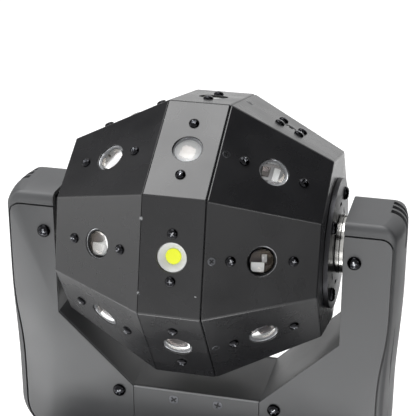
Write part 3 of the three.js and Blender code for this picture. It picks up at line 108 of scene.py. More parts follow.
def closed_up(piece, merge=0.002):
    """Merges what lies together and turns every face outwards."""
    bpy.ops.mesh.select_all(action="SELECT")
    bpy.ops.mesh.remove_doubles(threshold=merge * MM)
    bpy.ops.mesh.normals_make_consistent(inside=False)
    bpy.ops.object.mode_set(mode="OBJECT")
    return piece


# %% Fill an outline, push it into a plate, and spin a profile
def filled(name, points):
    """A closed outline filled with one face, left in edit mode with all of it selected."""
    piece = drawn(name, points)
    bpy.ops.mesh.select_all(action="SELECT")
    bpy.ops.mesh.edge_face_add()
    bpy.ops.mesh.select_all(action="SELECT")
    return piece


def pull(*way):
    """Extrudes what is selected, along X, Y and Z in millimetres."""
    bpy.ops.mesh.extrude_region_move(TRANSFORM_OT_translate={"value": [step * MM for step in way]})


def pushed(name, points, *way):
    """A filled outline pushed into a plate, along X, Y and Z in millimetres."""
    piece = filled(name, points)
    pull(*way)
    return closed_up(piece)


def along_y(name, points, start, end):
    """An outline in X and Z pushed along Y from start to end."""
    return pushed(name, [(x, start, z) for x, z in points], 0, end - start, 0)


def along_z(name, points, start, end):
    """An outline in X and Y pushed along Z."""
    return pushed(name, [(x, y, start) for x, y in points], 0, 0, end - start)


def along_x(name, points, start, end):
    """An outline in Y and Z pushed along X."""
    return pushed(name, [(start, y, z) for y, z in points], end - start, 0, 0)


AXES = {"X": Vector((1, 0, 0)), "Y": Vector((0, 1, 0)), "Z": Vector((0, 0, 1))}


def spun(name, profile, axis="Z", steps=48, first=0.0):
    """A profile of (along, radius) pairs turned round an axis. first is where it starts, in degrees."""
    out = {"X": Vector((0, 0, 1)), "Y": Vector((1, 0, 0)), "Z": Vector((1, 0, 0))}[axis]
    out = Matrix.Rotation(math.radians(first), 3, AXES[axis]) @ out
    line = [AXES[axis] * along + out * radius for along, radius in profile]
    piece = drawn(name, line)
    bpy.ops.mesh.select_all(action="SELECT")
    bpy.ops.mesh.spin(steps=steps, angle=2 * math.pi, center=(0, 0, 0), axis=AXES[axis])
    return closed_up(piece)


def arc(u, v, radius, start, end, count=8):
    """Points of an arc in an outline, with angles in degrees."""
    turns = [math.radians(start + (end - start) * i / count) for i in range(count + 1)]
    return [(u + radius * math.cos(t), v + radius * math.sin(t)) for t in turns]


# %% [markdown]
# ## Cutting, easing and smoothing
# Holes are cut with a boolean modifier. No real edge is sharp: folded sheet has a bend radius and
# paint rounds a cut edge, and that thin round is what catches the light. A weighted normal modifier
# then keeps the flats flat in the shading.

# %% Modifiers, applied as they are made
def applied(piece, kind, **settings):
    """Adds a modifier with its settings and applies it."""
    take(piece)
    bpy.ops.object.modifier_add(type=kind)
    modifier = piece.modifiers[-1]
    for key, value in settings.items():
        setattr(modifier, key, value)
    bpy.ops.object.modifier_apply(modifier=modifier.name)
    return piece


def cut(piece, *cutters):
    """Cuts a piece with others, which are used up. Cut faces keep the cutter's finish, if it has one."""
    for cutter in cutters:
        applied(
            piece, "BOOLEAN", operation="DIFFERENCE", object=cutter, solver="EXACT",
            material_mode="TRANSFER",
        )
        bpy.data.objects.remove(cutter)
    return piece


def eased(piece, width, segments=2, angle=30):
    """Rounds the edges that turn by more than an angle, by a width in millimetres."""
    return applied(
        piece, "BEVEL", width=width * MM, segments=segments,
        limit_method="ANGLE", angle_limit=math.radians(angle),
    )


def smoothed(piece, angle=32):
    """Shades the rounds smooth and keeps the flats flat."""
    take(piece)
    bpy.ops.object.shade_smooth_by_angle(angle=math.radians(angle))
    return applied(piece, "WEIGHTED_NORMAL", keep_sharp=True)


# %% Copies, joining and placing
def copied(piece, name, place=None):
    """A copy with its own mesh, moved by a matrix. A mirroring matrix turns the faces back outwards."""
    twin = piece.copy()
    twin.data = piece.data.copy()
    twin.name = twin.data.name = name
    bpy.context.scene.collection.objects.link(twin)
    if place is not None:
        twin.data.transform(place)
        if place.determinant() < 0:
            twin.data.flip_normals()
    return twin


def joined(name, *pieces):
    """Several pieces made one."""
    take(*pieces)
    bpy.ops.object.join()
    whole = bpy.context.object
    whole.name = whole.data.name = name
    return whole


def shifted(x=0.0, y=0.0, z=0.0):
    """A matrix that moves, in millimetres."""
    return Matrix.Translation(Vector((x, y, z)) * MM)


def rotation(degrees, axis="Z"):
    """A matrix that turns round an axis."""
    return Matrix.Rotation(math.radians(degrees), 4, axis)


MIRROR_X = Matrix.Scale(-1, 4, (1, 0, 0))
MIRROR_Y = Matrix.Scale(-1, 4, (0, 1, 0))
# The arms' plates and covers are drawn for the right side and mirrored onto the left
SIDES = ((1, "right", None), (-1, "left", MIRROR_X))

# %% [markdown]
# ## Finishes
# Each finish starts from the real material and how its surface was made. Colours are sRGB hex values
# as a paint chart gives them, and one function turns them to the linear values that light works in.

# %% Colour and node helpers
def linear(hex_colour):
    """An sRGB hex colour as linear RGBA."""
    parts = [int(hex_colour[i:i + 2], 16) / 255 for i in (1, 3, 5)]
    return [p / 12.92 if p <= 0.04045 else ((p + 0.055) / 1.055) ** 2.4 for p in parts] + [1.0]


def add_node(tree, kind, settings=None, **links):
    """Adds a node: its own settings as a dict, and its inputs as values or as other nodes' outputs."""
    node = tree.nodes.new(kind)
    for key, value in (settings or {}).items():
        setattr(node, key, value)
    for key, value in links.items():
        socket = node.inputs[int(key[1:])] if key[1:].isdigit() else node.inputs[key.replace("_", " ")]
        if isinstance(value, bpy.types.NodeSocket):
            tree.links.new(value, socket)
        else:
            socket.default_value = value
    return node


def new_finish(name, **surface):
    """A material with its principled shader's plain values set, and the object's own coordinates."""
    finish = bpy.data.materials.new(name)
    finish.use_nodes = True
    tree = finish.node_tree
    shader = tree.nodes["Principled BSDF"]
    for key, value in surface.items():
        shader.inputs[key.replace("_", " ")].default_value = value
    place = add_node(tree, "ShaderNodeTexCoord").outputs["Object"]
    return finish, tree, shader, place


def per_mm(size):
    """The scale at which a noise has features of this size in millimetres."""
    return 1 / (size * MM)


# %% [markdown]
# ### Powder coat and moulded ABS
# The head is folded steel under a satin black powder coat. The powder melts into a fine orange peel,
# so a lamp's reflection is broad and very slightly broken. The arms have a charcoal coat, and their
# covers are ABS from a spark-eroded mould, with a finer, duller grain.

# %% Coated and moulded finishes
def grained(name, base, lighter, roughness, grain, relief, spread=0.05, cloud=28.0, sheen=0.5):
    """A coat with grain of a size in millimetres, and slow changes of gloss and shade over it."""
    finish, tree, shader, place = new_finish(name, Specular_IOR_Level=sheen)
    peel = add_node(tree, "ShaderNodeTexNoise", Vector=place, Scale=per_mm(grain), Detail=3.0)
    clouds = add_node(tree, "ShaderNodeTexNoise", Vector=place, Scale=per_mm(cloud), Detail=4.0)
    shade = add_node(tree, "ShaderNodeMix", {"data_type": "RGBA"}, _0=clouds.outputs["Fac"],
                     _6=linear(base), _7=linear(lighter))
    gloss = add_node(tree, "ShaderNodeMapRange", Value=clouds.outputs["Fac"], From_Min=0.3, From_Max=0.7,
                     To_Min=roughness - spread, To_Max=roughness + spread)
    bump = add_node(tree, "ShaderNodeBump", Height=peel.outputs["Fac"], Strength=1.0, Distance=relief * MM)
    tree.links.new(shade.outputs[2], shader.inputs["Base Color"])
    tree.links.new(gloss.outputs[0], shader.inputs["Roughness"])
    tree.links.new(bump.outputs[0], shader.inputs["Normal"])
    return finish


# The real peel is about 0.3 mm, too fine to show, so it is drawn at 0.9 mm
black_coat = grained("black_powder_coat", "#18181a", "#202022", 0.27, 0.9, 0.010)
charcoal_coat = grained("charcoal_powder_coat", "#3e3f41", "#444547", 0.42, 0.9, 0.012, sheen=0.8)
moulded_abs = grained("spark_eroded_abs", "#3b3c3e", "#414244", 0.53, 0.6, 0.015, sheen=0.8)

CHIP_GRAIN = 0.7
CHIP_WANDER = 2.6


def chipped(finish, chips):
    """Ragged spots of bared pale primer where the coat is knocked off, each a point and a radius in mm."""
    tree = finish.node_tree
    shader = tree.nodes["Principled BSDF"]
    place = add_node(tree, "ShaderNodeTexCoord").outputs["Object"]
    ragged = add_node(tree, "ShaderNodeTexNoise", Vector=place, Scale=per_mm(CHIP_GRAIN), Detail=2.0)
    wander = add_node(tree, "ShaderNodeMath", {"operation": "MULTIPLY"},
                      _0=ragged.outputs["Fac"], _1=CHIP_WANDER * MM)
    bare = shader.inputs["Base Color"].links[0].from_socket
    for x, y, z, radius in chips:
        away = add_node(tree, "ShaderNodeVectorMath", {"operation": "DISTANCE"},
                        _0=place, _1=Vector((x, y, z)) * MM)
        ragged_away = add_node(tree, "ShaderNodeMath", _0=away.outputs["Value"], _1=wander.outputs[0])
        inside = add_node(tree, "ShaderNodeMath", {"operation": "LESS_THAN"},
                          _0=ragged_away.outputs[0], _1=(radius + CHIP_WANDER / 2) * MM)
        bare = add_node(tree, "ShaderNodeMix", {"data_type": "RGBA"}, _0=inside.outputs[0],
                        _6=bare, _7=linear("#b4b6b8")).outputs[2]
    tree.links.new(bare, shader.inputs["Base Color"])


# Handling has chipped the left seam's edge in three places, and a speck of dust lies on the front
chipped(black_coat, [
    (-18.2, -74.6, 253.4, 0.9), (-18.2, -84.0, 212.4, 0.7), (-18.2, -27.6, 296.4, 1.1),
    (14.7, -83.8, 213.6, 0.3),
])
print("coats:", black_coat.name, charcoal_coat.name, moulded_abs.name)

# %% [markdown]
# ### Metals
# Screws are black-oxidised steel, still a metal under a thin dark skin, which wears off the flat heads
# first. The pan heads' crosses are painted pale steel, a painted highlight for their glints. The hub is
# steel turned and polished, with the faint rings that a lathe leaves, and the pulleys and spindle are
# turned aluminium.

# %% Metal finishes
def turned_metal(name, colour, roughness, ring, relief):
    """Bare metal with fine rings of a pitch in millimetres, from the tool that cut it."""
    finish, tree, shader, place = new_finish(name, Base_Color=linear(colour), Metallic=1.0)
    rings = add_node(tree, "ShaderNodeTexNoise", Vector=place, Scale=per_mm(ring), Detail=2.0)
    gloss = add_node(tree, "ShaderNodeMapRange", Value=rings.outputs["Fac"],
                     To_Min=roughness * 0.7, To_Max=roughness * 1.4)
    bump = add_node(tree, "ShaderNodeBump", Height=rings.outputs["Fac"], Distance=relief * MM)
    tree.links.new(gloss.outputs[0], shader.inputs["Roughness"])
    tree.links.new(bump.outputs[0], shader.inputs["Normal"])
    return finish


black_oxide = turned_metal("black_oxide_steel", "#222224", 0.12, 0.5, 0.001)
black_plate = turned_metal("black_oxide_plate", "#38383a", 0.34, 0.8, 0.003)
worn_oxide = turned_metal("worn_black_oxide", "#58595c", 0.3, 0.4, 0.004)
# Pale steel for the pan heads' crosses, a painted highlight for their glints
glint_steel = turned_metal("screw_recess_painted_glint", "#c0c1c4", 0.22, 0.4, 0.002)
# Bright metal for the lens rings, a painted highlight for the lit edge of each hole
painted_ring_highlight = turned_metal("lens_ring_painted_highlight", "#a9abae", 0.25, 0.8, 0.002)
polished_steel = turned_metal("polished_steel", "#b8b7b4", 0.16, 0.8, 0.002)
turned_aluminium = turned_metal("turned_aluminium", "#b4b6b8", 0.35, 0.6, 0.004)
ground_steel = turned_metal("ground_bearing_steel", "#9a9da0", 0.28, 0.6, 0.003)
zinc_steel = turned_metal("zinc_plated_steel", "#a6a9ab", 0.42, 3.0, 0.004)
print("metals made")

# %% [markdown]
# ### Glass, lamps, rubber and board
# The lenses are pressed clear glass with a thin coating that takes most of the reflection away, so the
# lamps show inside. Behind each is a moulded seat with its LED. The four bare lamps are chip-on-board:
# a white ceramic dish with a disc of yellow phosphor. The phosphor is given a faint painted glow, so it
# reads brighter in its shaded recess, though the lamp is off.

# %% Glass, lamp, rubber and board finishes
# The coating is a quarter of green light's wavelength thick, in nanometres
lens_glass = new_finish(
    "pressed_lens_glass", Base_Color=(1, 1, 1, 1), Roughness=0.015, IOR=1.49, Transmission_Weight=1.0,
    Thin_Film_Thickness=100.0, Thin_Film_IOR=1.38,
)[0]
lamp_white = grained("moulded_white_seat", "#e4e5e6", "#f0f1f1", 0.38, 1.2, 0.002)
# Near-black moulding of the seats, bezels and packages, also used as painted shade inside the arm covers
# and in the flat screws' crosses
black_and_painted_shade = grained("moulded_black_and_painted_shade", "#0c0c0e", "#141416", 0.35, 1.2, 0.002, sheen=0.25)
# A blacker copy of the package moulding without reflection, for the right side's dark packages: painted
# shade for those lamps' shaded insides
shaded_black_package = grained("black_package_painted_shade", "#050506", "#08080a", 0.6, 1.2, 0.002, sheen=0.0)
phosphor = grained("yellow_phosphor", "#eef61a", "#f4fa24", 0.45, 0.5, 0.02, cloud=3.0)
phosphor_sockets = phosphor.node_tree.nodes["Principled BSDF"].inputs
# A faint painted glow: the phosphor emits light though the lamp is off
phosphor_sockets["Emission Color"].default_value = linear("#f6ff58")
phosphor_sockets["Emission Strength"].default_value = 0.25
die_pale = grained("pale_led_die", "#cfd0cf", "#e0e1e0", 0.4, 0.4, 0.001, cloud=2.0)
die_mid = grained("clouded_led_die", "#8f9091", "#9fa0a1", 0.4, 0.4, 0.001, cloud=2.0)
die_grey = grained("grey_led_die", "#77787b", "#868789", 0.35, 0.4, 0.001, cloud=2.0)
die_dark = grained("dark_led_die", "#0c0c10", "#16161a", 0.3, 0.4, 0.001, cloud=2.0, sheen=0.2)
belt_rubber = grained("belt_rubber", "#141414", "#1c1c1c", 0.7, 0.8, 0.03)
button_rubber = grained("grey_button_rubber", "#3a3c3f", "#424447", 0.55, 0.8, 0.015)
circuit_board = grained("green_circuit_board", "#1c5234", "#23603d", 0.4, 1.5, 0.01, cloud=6.0)
dark_window = new_finish("black_display_window", Base_Color=linear("#08080a"), Roughness=0.08, IOR=1.49)[0]
print("lamp finishes made")

# %% [markdown]
# ## Riding, standing for, and finishing
# Every new piece says three things: the body that it moves with, the CAD node that it stands for, and
# the slot that its finish belongs to. One table gives each slot its usual finish, for new pieces and
# for the CAD nodes that stay. A piece that needs another one is dressed before it is handed over.

# %% Attach a piece to its body
SLOT_FINISHES = {
    "powder_coated_steel": charcoal_coat, "moulded_abs": moulded_abs, "black_oxide_steel": black_oxide,
    "polished_steel": polished_steel, "lens_glass": lens_glass, "cob_housing": lamp_white,
    "machined_aluminium": turned_aluminium, "bearing_steel": ground_steel, "belt_rubber": belt_rubber,
    "circuit_board": circuit_board, "zinc_plated_steel": zinc_steel, "button_rubber": button_rubber,
    "display_glass": dark_window,
}
HEAD_TILT = -12.47
AXIS_HEIGHT = 216.0
ON_HEAD = shifted(z=AXIS_HEIGHT) @ rotation(HEAD_TILT, "X")


def dressed(piece, finish):
    """Gives a piece one finish all over."""
    piece.data.materials.clear()
    piece.data.materials.append(finish)
    return piece


def handed(piece, body, slot, *nodes):
    """Attaches a piece to its body and hides the CAD nodes that it stands for. One without a finish gets
    its slot's.
    """
    if not any(piece.data.materials):
        dressed(piece, SLOT_FINISHES[slot])
    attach(piece, body)
    if nodes:
        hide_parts(*nodes)


def turned(name, profile, finish, steps=48, axis="Z", angle=30):
    """A profile spun into a smooth piece with its finish."""
    return dressed(smoothed(spun(name, profile, axis, steps), angle), finish)


# %% [markdown]
# ## The head's shells
# The head is a middle band and two tapers, eight flats round. On the real lamp each is steel sheet,
# folded at the corners and screwed at the seams. Here one cross-section of sheet is spun in eight
# steps, which gives eight flats by itself. The band and the left taper are one CAD piece, but they
# are two sheets with a hairline between them, so they are modelled as two.

# %% Head sizes
PANELS = 8
BAND_CORNER = 88.0
END_CORNER = 56.35
BAND_HALF = 18.15
HEAD_HALF = 77.8
SHEET = 2.0
CORNER_HALF_TURN = 180 / PANELS
FLAT_SHARE = math.cos(math.radians(CORNER_HALF_TURN))
BAND_FLAT = BAND_CORNER * FLAT_SHARE
END_FLAT = END_CORNER * FLAT_SHARE
TAPER = math.hypot(HEAD_HALF - BAND_HALF, BAND_FLAT - END_FLAT)
TAPER_OUT = (HEAD_HALF - BAND_HALF) / TAPER
TAPER_SIDE = (BAND_FLAT - END_FLAT) / TAPER
SHAFT_CLEARANCE = 13.2
print("head", 2 * HEAD_HALF, "mm long,", round(2 * BAND_CORNER), "mm over corners")


def taper_flat(along, depth=0.0):
    """Flat radius of a taper at a place along the axis, at a depth under its outside."""
    edge = BAND_FLAT * TAPER_OUT + BAND_HALF * TAPER_SIDE
    return (edge - depth - along * TAPER_SIDE) / TAPER_OUT


def folded(name, profile):
    """Sheet whose cross-section is (along, flat radius) pairs, with eight flats round the axis."""
    corners = [(along, flat / FLAT_SHARE) for along, flat in profile]
    return spun(name, corners + corners[:1], "X", steps=PANELS, first=CORNER_HALF_TURN)


# %% Where each panel is
def panel_place(side, turn):
    """Matrix of a panel's middle: side -1, 0 or 1, turn counted from the front over the top."""
    angle = math.radians(360 * turn / PANELS)
    away = Vector((0, -math.cos(angle), math.sin(angle)))
    if side == 0:
        normal, along = away, Vector((0, math.sin(angle), math.cos(angle)))
        middle = away * BAND_FLAT
    else:
        normal = away * TAPER_OUT + AXES["X"] * side * TAPER_SIDE
        along = away * -TAPER_SIDE + AXES["X"] * side * TAPER_OUT
        middle = away * (BAND_FLAT + END_FLAT) / 2 + AXES["X"] * side * (BAND_HALF + HEAD_HALF) / 2
    turned = Matrix((along, normal.cross(along), normal)).transposed().to_4x4()
    return Matrix.Translation(middle * MM) @ turned


# %% Cut the panels' holes
LENS_HOLE = 8.65
LASER_HOLE = 3.2
LASER_PANEL = (1, 2)
PAINT_ROUND = 0.35


def holes(name, side):
    """Cutters for every panel's hole on a side of the head, joined, with a small paint round."""
    made = []
    for turn in range(PANELS):
        radius = LASER_HOLE if (side, turn) == LASER_PANEL else LENS_HOLE
        profile = [(-6, 0), (-6, radius), (-PAINT_ROUND, radius), (-0.1, radius + 0.1),
                   (0, radius + PAINT_ROUND), (3, radius + PAINT_ROUND), (3, 0)]
        made.append(spun(f"{name}_{side}_{turn}", profile))
        made[-1].data.transform(panel_place(side, turn))
    return joined(name, *made)


# %% Spin the three sheets
HAIRLINE = 0.1
SEAM = 0.15
FOLD_ROUND = 1.2
LEFT_FOLD_ROUND = 0.6
FOLD_ANGLE = 18
LIP = 6.5
LIP_START = 10
CRISP = 0.3
CRISP_DROP = 0.15


def shell(name, profile, side, fold_round=FOLD_ROUND):
    """Folded sheet with rounded folds and the holes of its side of the head."""
    sheet = eased(folded(name, profile), fold_round, 4, FOLD_ANGLE)
    sheet = smoothed(cut(sheet, holes(f"{name}_holes", side)))
    sheet.data.transform(ON_HEAD)
    return dressed(sheet, black_coat)


inner_end = HEAD_HALF - SHEET
left_end = -BAND_HALF - HAIRLINE
crisp_left = arc(left_end - CRISP, taper_flat(-left_end) - CRISP - CRISP_DROP, CRISP, 116, 0, 8)
crisp_band = arc(HAIRLINE + CRISP - BAND_HALF, BAND_FLAT - CRISP, CRISP, 180, 90, 6)
left_profile = [(-HEAD_HALF, SHAFT_CLEARANCE), (-HEAD_HALF, END_FLAT)] + crisp_left + [
    (left_end, taper_flat(-left_end, SHEET)), (-inner_end, taper_flat(inner_end, SHEET)),
    (-inner_end, SHAFT_CLEARANCE),
]
band_end = BAND_HALF - SEAM
band_profile = crisp_band + [
    (band_end, BAND_FLAT), (band_end, BAND_FLAT - SHEET),
    (-BAND_HALF + HAIRLINE, BAND_FLAT - SHEET),
]
right_profile = [
    (HEAD_HALF, SHAFT_CLEARANCE), (HEAD_HALF, END_FLAT), (BAND_HALF + SEAM, taper_flat(BAND_HALF + SEAM)),
    (BAND_HALF + SEAM, taper_flat(BAND_HALF + SEAM, SHEET)), (inner_end, taper_flat(inner_end, SHEET)),
    (inner_end, SHAFT_CLEARANCE),
]
lip_top = SHEET + 0.3
lip_under = lip_top + 1
lip_profile = [
    (LIP_START, BAND_FLAT - lip_top), (band_end, BAND_FLAT - lip_top),
    (BAND_HALF + LIP, taper_flat(BAND_HALF + LIP, lip_top)),
    (BAND_HALF + LIP, taper_flat(BAND_HALF + LIP, lip_under)),
    (band_end, BAND_FLAT - lip_under), (LIP_START, BAND_FLAT - lip_under),
]
left_taper = shell("head_taper_left", left_profile, -1, LEFT_FOLD_ROUND)
middle_band = shell("head_band", band_profile, 0)
right_taper = shell("head_taper_right", right_profile, 1)
lip = dressed(smoothed(folded("head_lip", lip_profile)), black_coat)
lip.data.transform(ON_HEAD)
for piece, word in ((lip, "left"), (left_taper, "left"), (middle_band, "left"), (right_taper, "right")):
    handed(piece, "head", "powder_coated_steel", f"head_shell_{word}")
print("shell faces:", [len(p.data.polygons) for p in (left_taper, middle_band, right_taper)])

# %% [markdown]
# ## Screws
# The lamp is held together by pan-head machine screws with a cross recess. The head is a flattened
# dome, and the recess a cross whose four wings taper as they go down, cut in pale steel as a painted
# highlight for the glints in it. One screw is turned and cut, and every other is a copy of it, each
# turned a little further than the last, as hands leave them.

# %% Turn a pan head and press its cross
SCREW_RADIUS = 3.0
M4_RADIUS = 4.1
M4_SHARE = M4_RADIUS / SCREW_RADIUS
FLAT_RADIUS = 2.3
PANEL_SCREW_RADIUS = 3.2
PANEL_SCREW_SHARE = PANEL_SCREW_RADIUS / FLAT_RADIUS
TIP_SHARE = 0.5


def cross(name, reach, half, top, depth):
    """A cross-shaped punch, narrower at its tip."""
    outline = []
    wing = [(reach, half), (half, half), (half, reach)]
    for _ in range(4):
        outline += wing
        wing = [(-y, x) for x, y in wing]
    punch = filled(name, [(x, y, top) for x, y in outline])
    pull(0, 0, -depth)
    bpy.ops.transform.resize(value=(TIP_SHARE, TIP_SHARE, 1), center_override=(0, 0, (top - depth) * MM))
    return closed_up(punch)


pan_profile = [
    (-0.6, 0), (-0.6, 2.9), (0.25, SCREW_RADIUS), (0.75, 2.92), (1.2, 2.62), (1.55, 2.1), (1.78, 1.4),
    (1.88, 0.7), (1.9, 0),
]
# The cross's faces are pale steel, a painted highlight
pan_cross = dressed(cross("pan_cross", reach=1.8, half=0.45, top=2.4, depth=1.7), glint_steel)
pan_head = smoothed(cut(dressed(spun("pan_head", pan_profile, steps=28), black_oxide), pan_cross), 40)
flat_profile = [(-0.5, 0), (-0.5, 1.6), (0.02, FLAT_RADIUS), (0.14, 2.15), (0.16, 0)]
# So shallow that the sheet under the head doesn't fill it. Its faces are near-black, painted shade as if
# the cross were deep
flat_cross = dressed(cross("flat_cross", reach=1.95, half=0.5, top=0.25, depth=0.21), black_and_painted_shade)
flat_head = smoothed(cut(dressed(spun("flat_head", flat_profile, steps=24), worn_oxide), flat_cross), 30)
print("faces in a screw head:", len(pan_head.data.polygons))
SCREW_TURN = 37
screws_placed = []


def screws(name, kind, places, body, *nodes, share=1.0):
    """Copies of a screw head, joined and handed over. Each is turned a little on from the last."""
    made = []
    for place in places:
        turn = rotation(SCREW_TURN * len(screws_placed))
        screws_placed.append(name)
        made.append(copied(kind, name, place @ turn @ Matrix.Scale(share, 4)))
    handed(joined(name, *made), body, "black_oxide_steel", *nodes)


# %% [markdown]
# ## Lens modules
# Each lens is a flat-backed glass whose dome rises just past the surface. A narrow bezel holds it, with
# a thin ring round it in bright metal, a painted highlight for the lit edge of the hole. On the tapers
# each lens has a square package with a wide and a narrow die behind it, magnified and bent by the dome.
# Every second lens has a black bezel, seat and package with pale dies, and on the right side that
# package is a blacker copy without reflection, painted shade. The others have a grey bezel and a white
# seat, with one dark and one pale die on a grey package. The band's lenses have a plain white reflector.

# %% Lens, seat and lamp package
LENS_RADIUS = 8.5
DOME_RADIUS = 7.9
LENS_BACK = -4.4
LENS_EDGE = -2.4
LENS_TOP = 0.9
SEAT_FLOOR = -7.2
PACKAGE = 12.5

rise = LENS_TOP - LENS_EDGE
curve = (rise ** 2 + DOME_RADIUS ** 2) / 2 / rise
opening = math.degrees(math.asin(DOME_RADIUS / curve))
dome = [(z, r) for r, z in arc(0, LENS_TOP - curve, curve, 90 - opening, 90, 14)]
glass_profile = [(LENS_BACK, 0), (LENS_BACK, LENS_RADIUS - 0.15), (LENS_BACK + 0.15, LENS_RADIUS)]
glass_profile += [(LENS_EDGE, LENS_RADIUS)] + dome[:-1] + [(LENS_TOP, 0)]
lens_shape = turned("lens_shape", glass_profile, lens_glass, 56)
bezel_profile = [
    (LENS_EDGE + 0.1, 8.3), (LENS_EDGE + 0.1, 7.95), (-2.02, 7.6), (-1.8, 7.6), (-1.65, 7.75), (-1.2, 8.3),
    (LENS_EDGE + 0.1, 8.3),
]
bezel = turned("bezel", bezel_profile, black_and_painted_shade, 56, angle=40)
ring_profile = [(-2.3, 8.35), (-2.3, 8.6), (-0.9, 8.6), (-0.8, 8.5), (-0.9, 8.35), (-2.3, 8.35)]
# The ring is bright metal, a painted highlight for the lit edge of the hole
lens_ring = turned("lens_ring", ring_profile, painted_ring_highlight, 56, angle=40)
pale_front = joined("pale_front", copied(lens_ring, "ring"), dressed(copied(bezel, "bezel"), die_grey))
dark_front = joined("dark_front", lens_ring, bezel)

seat_profile = [
    (-3.2, 8.65), (-3.2, 10.4), (SEAT_FLOOR - 1.2, 10.4), (SEAT_FLOOR - 1.2, 0), (SEAT_FLOOR, 0),
    (SEAT_FLOOR, 7.2), (LENS_BACK - 0.2, 7.8), (LENS_BACK - 0.2, 8.65), (-3.2, 8.65),
]
seat_shape = turned("seat_shape", seat_profile, black_and_painted_shade)


def chip(name, low, high, rise, finish):
    """A chip with eased edges, between two opposite corners."""
    (x0, y0), (x1, y1) = low, high
    outline = [(x1, y1), (x0, y1), (x0, y0), (x1, y0)]
    bottom = SEAT_FLOOR + rise
    return dressed(smoothed(eased(along_z(name, outline, bottom - 0.6, bottom), 0.12)), finish)


WIDE_DIE = ((-5.4, -5.6), (-0.2, -0.8))
NARROW_DIE = ((0.9, -0.6), (3.4, 4.8))
BROAD_DIE = ((-3.5, -5.8), (2.2, -1.5))
SHORT_DIE = ((1.1, -1.4), (3.2, 1.9))
CORNER_DIE = ((-4.6, 0.6), (-0.6, 4.4))
DIE_RISE = 1.2
CORNER_RISE = 1.15
BODY_RISE = 0.9


def lamp_package(name, body, wide, narrow, corner=black_and_painted_shade, wide_at=WIDE_DIE, narrow_at=NARROW_DIE):
    """A package with a wide die in one corner and a narrow one across from it."""
    half = PACKAGE / 2
    return joined(
        name,
        chip("wide", *wide_at, DIE_RISE, wide),
        chip("narrow", *narrow_at, DIE_RISE, narrow),
        chip("corner", *CORNER_DIE, CORNER_RISE, corner),
        chip("body", (-half, -half), (half, half), BODY_RISE, body),
    )


# Each is for a side of the head, and for its even or odd panels
packages = {
    (-1, 0): lamp_package("dark_package_left", black_and_painted_shade, die_pale, die_pale),
    (-1, 1): lamp_package("pale_package_left", die_mid, die_dark, lamp_white),
    # The right side's dark package is the blacker copy, painted shade
    (1, 0): lamp_package(
        "dark_package_right", shaded_black_package, die_pale, die_mid, shaded_black_package, BROAD_DIE, SHORT_DIE,
    ),
    (1, 1): lamp_package("pale_package_right", die_grey, die_dark, die_pale),
}
print("lens", 2 * LENS_RADIUS, "mm across, dome radius", round(curve, 1), "mm")

# %% Fit a lens module to each panel that has one
LENS_SCREWS = (18.0, -18.0)


def fit_lens(side, turn):
    """A lens with its front, seat, package and screws. Odd turns get the pale ones."""
    node = f"lens_{('left', 'middle', 'right')[side + 1]}_{turn}"
    place = ON_HEAD @ panel_place(side, turn)
    handed(copied(lens_shape, f"{node}_glass", place), "head", "lens_glass", node)
    seat = dressed(copied(seat_shape, "seat_in", place), lamp_white if turn % 2 else black_and_painted_shade)
    insides = [copied(pale_front if turn % 2 else dark_front, "front_in", place)]
    if side:
        upright = place @ rotation(90 - 90 * side)
        insides.append(copied(packages[side, turn % 2], "package_in", upright))
    handed(joined(f"{node}_seat", *insides, seat), "head", "cob_housing", node)
    screws(f"{node}_screws", pan_head, [place @ shifted(x) for x in LENS_SCREWS], "head", node)


for side in (-1, 0, 1):
    for turn in range(PANELS):
        if not (side == 0 and turn % 2 == 0) and (side, turn) != LASER_PANEL:
            fit_lens(side, turn)
print("lens modules fitted:", len(screws_placed) // 2)

# %% [markdown]
# ## Chip-on-board lamps
# The four bare lamps on the band have no lens. A white moulded dish behind the sheet slopes down to a
# ceramic plate with a round of phosphor gel, slightly domed as it was poured.

# %% White dish, plate and phosphor
dish_profile = [
    (-6.2, 4.9), (-6.2, 10.4), (-2.05, 10.4), (-2.05, 8.9), (-1.75, 8.55), (-1.55, 8.3), (-1.65, 8.0),
    (-4.3, 5.0), (-4.6, 4.9), (-6.2, 4.9),
]
dish = turned("cob_dish", dish_profile, lamp_white, 56, angle=40)
plate_profile = [(-6.0, 0), (-6.0, 5.2), (-4.9, 5.2), (-4.9, 0)]
plate = turned("cob_plate", plate_profile, lamp_white)
gel_profile = [(-5.2, 0), (-5.2, 4.45), (-4.5, 4.45), (-4.2, 4.3), (-4.08, 3.2), (-4.02, 1.8), (-4.0, 0)]
gel = turned("cob_gel", gel_profile, phosphor, angle=40)
cob_shape = joined("cob_shape", gel, plate, dish)
COB_SCREWS = (13.5, -13.5)
for turn in range(0, PANELS, 2):
    place = ON_HEAD @ panel_place(0, turn)
    node = f"cob_led_{turn}"
    handed(copied(cob_shape, f"{node}_lamp", place), "head", "cob_housing", node)
    screws(f"{node}_screws", pan_head, [place @ shifted(x) for x in COB_SCREWS], "head", node)
print("bare lamps fitted:", PANELS // 2)

# %% [markdown]
# ## Laser and joint screws
# One panel has a laser instead of a lens: a small tube behind a plain hole, on four screws in a
# square. Along the right seam, eight countersunk screws pull the right shell onto the lip.

# %% Laser tube and its four screws
LASER_SCREWS = (-6.5, 6.5)
tube_profile = [
    (-6, 0), (-6, 2.8), (-0.5, 2.8), (-0.3, 2.6), (-0.3, 1.7), (-1.6, 1.5), (-1.6, 0),
]
laser_place = ON_HEAD @ panel_place(*LASER_PANEL)
tube = turned("laser_tube", tube_profile, black_oxide, 32)
tube.data.transform(laser_place)
handed(tube, "head", "black_oxide_steel", "laser_module")
square = [laser_place @ shifted(x, y) for x in LASER_SCREWS for y in LASER_SCREWS]
screws("laser_screws", pan_head, square, "head", "laser_module")

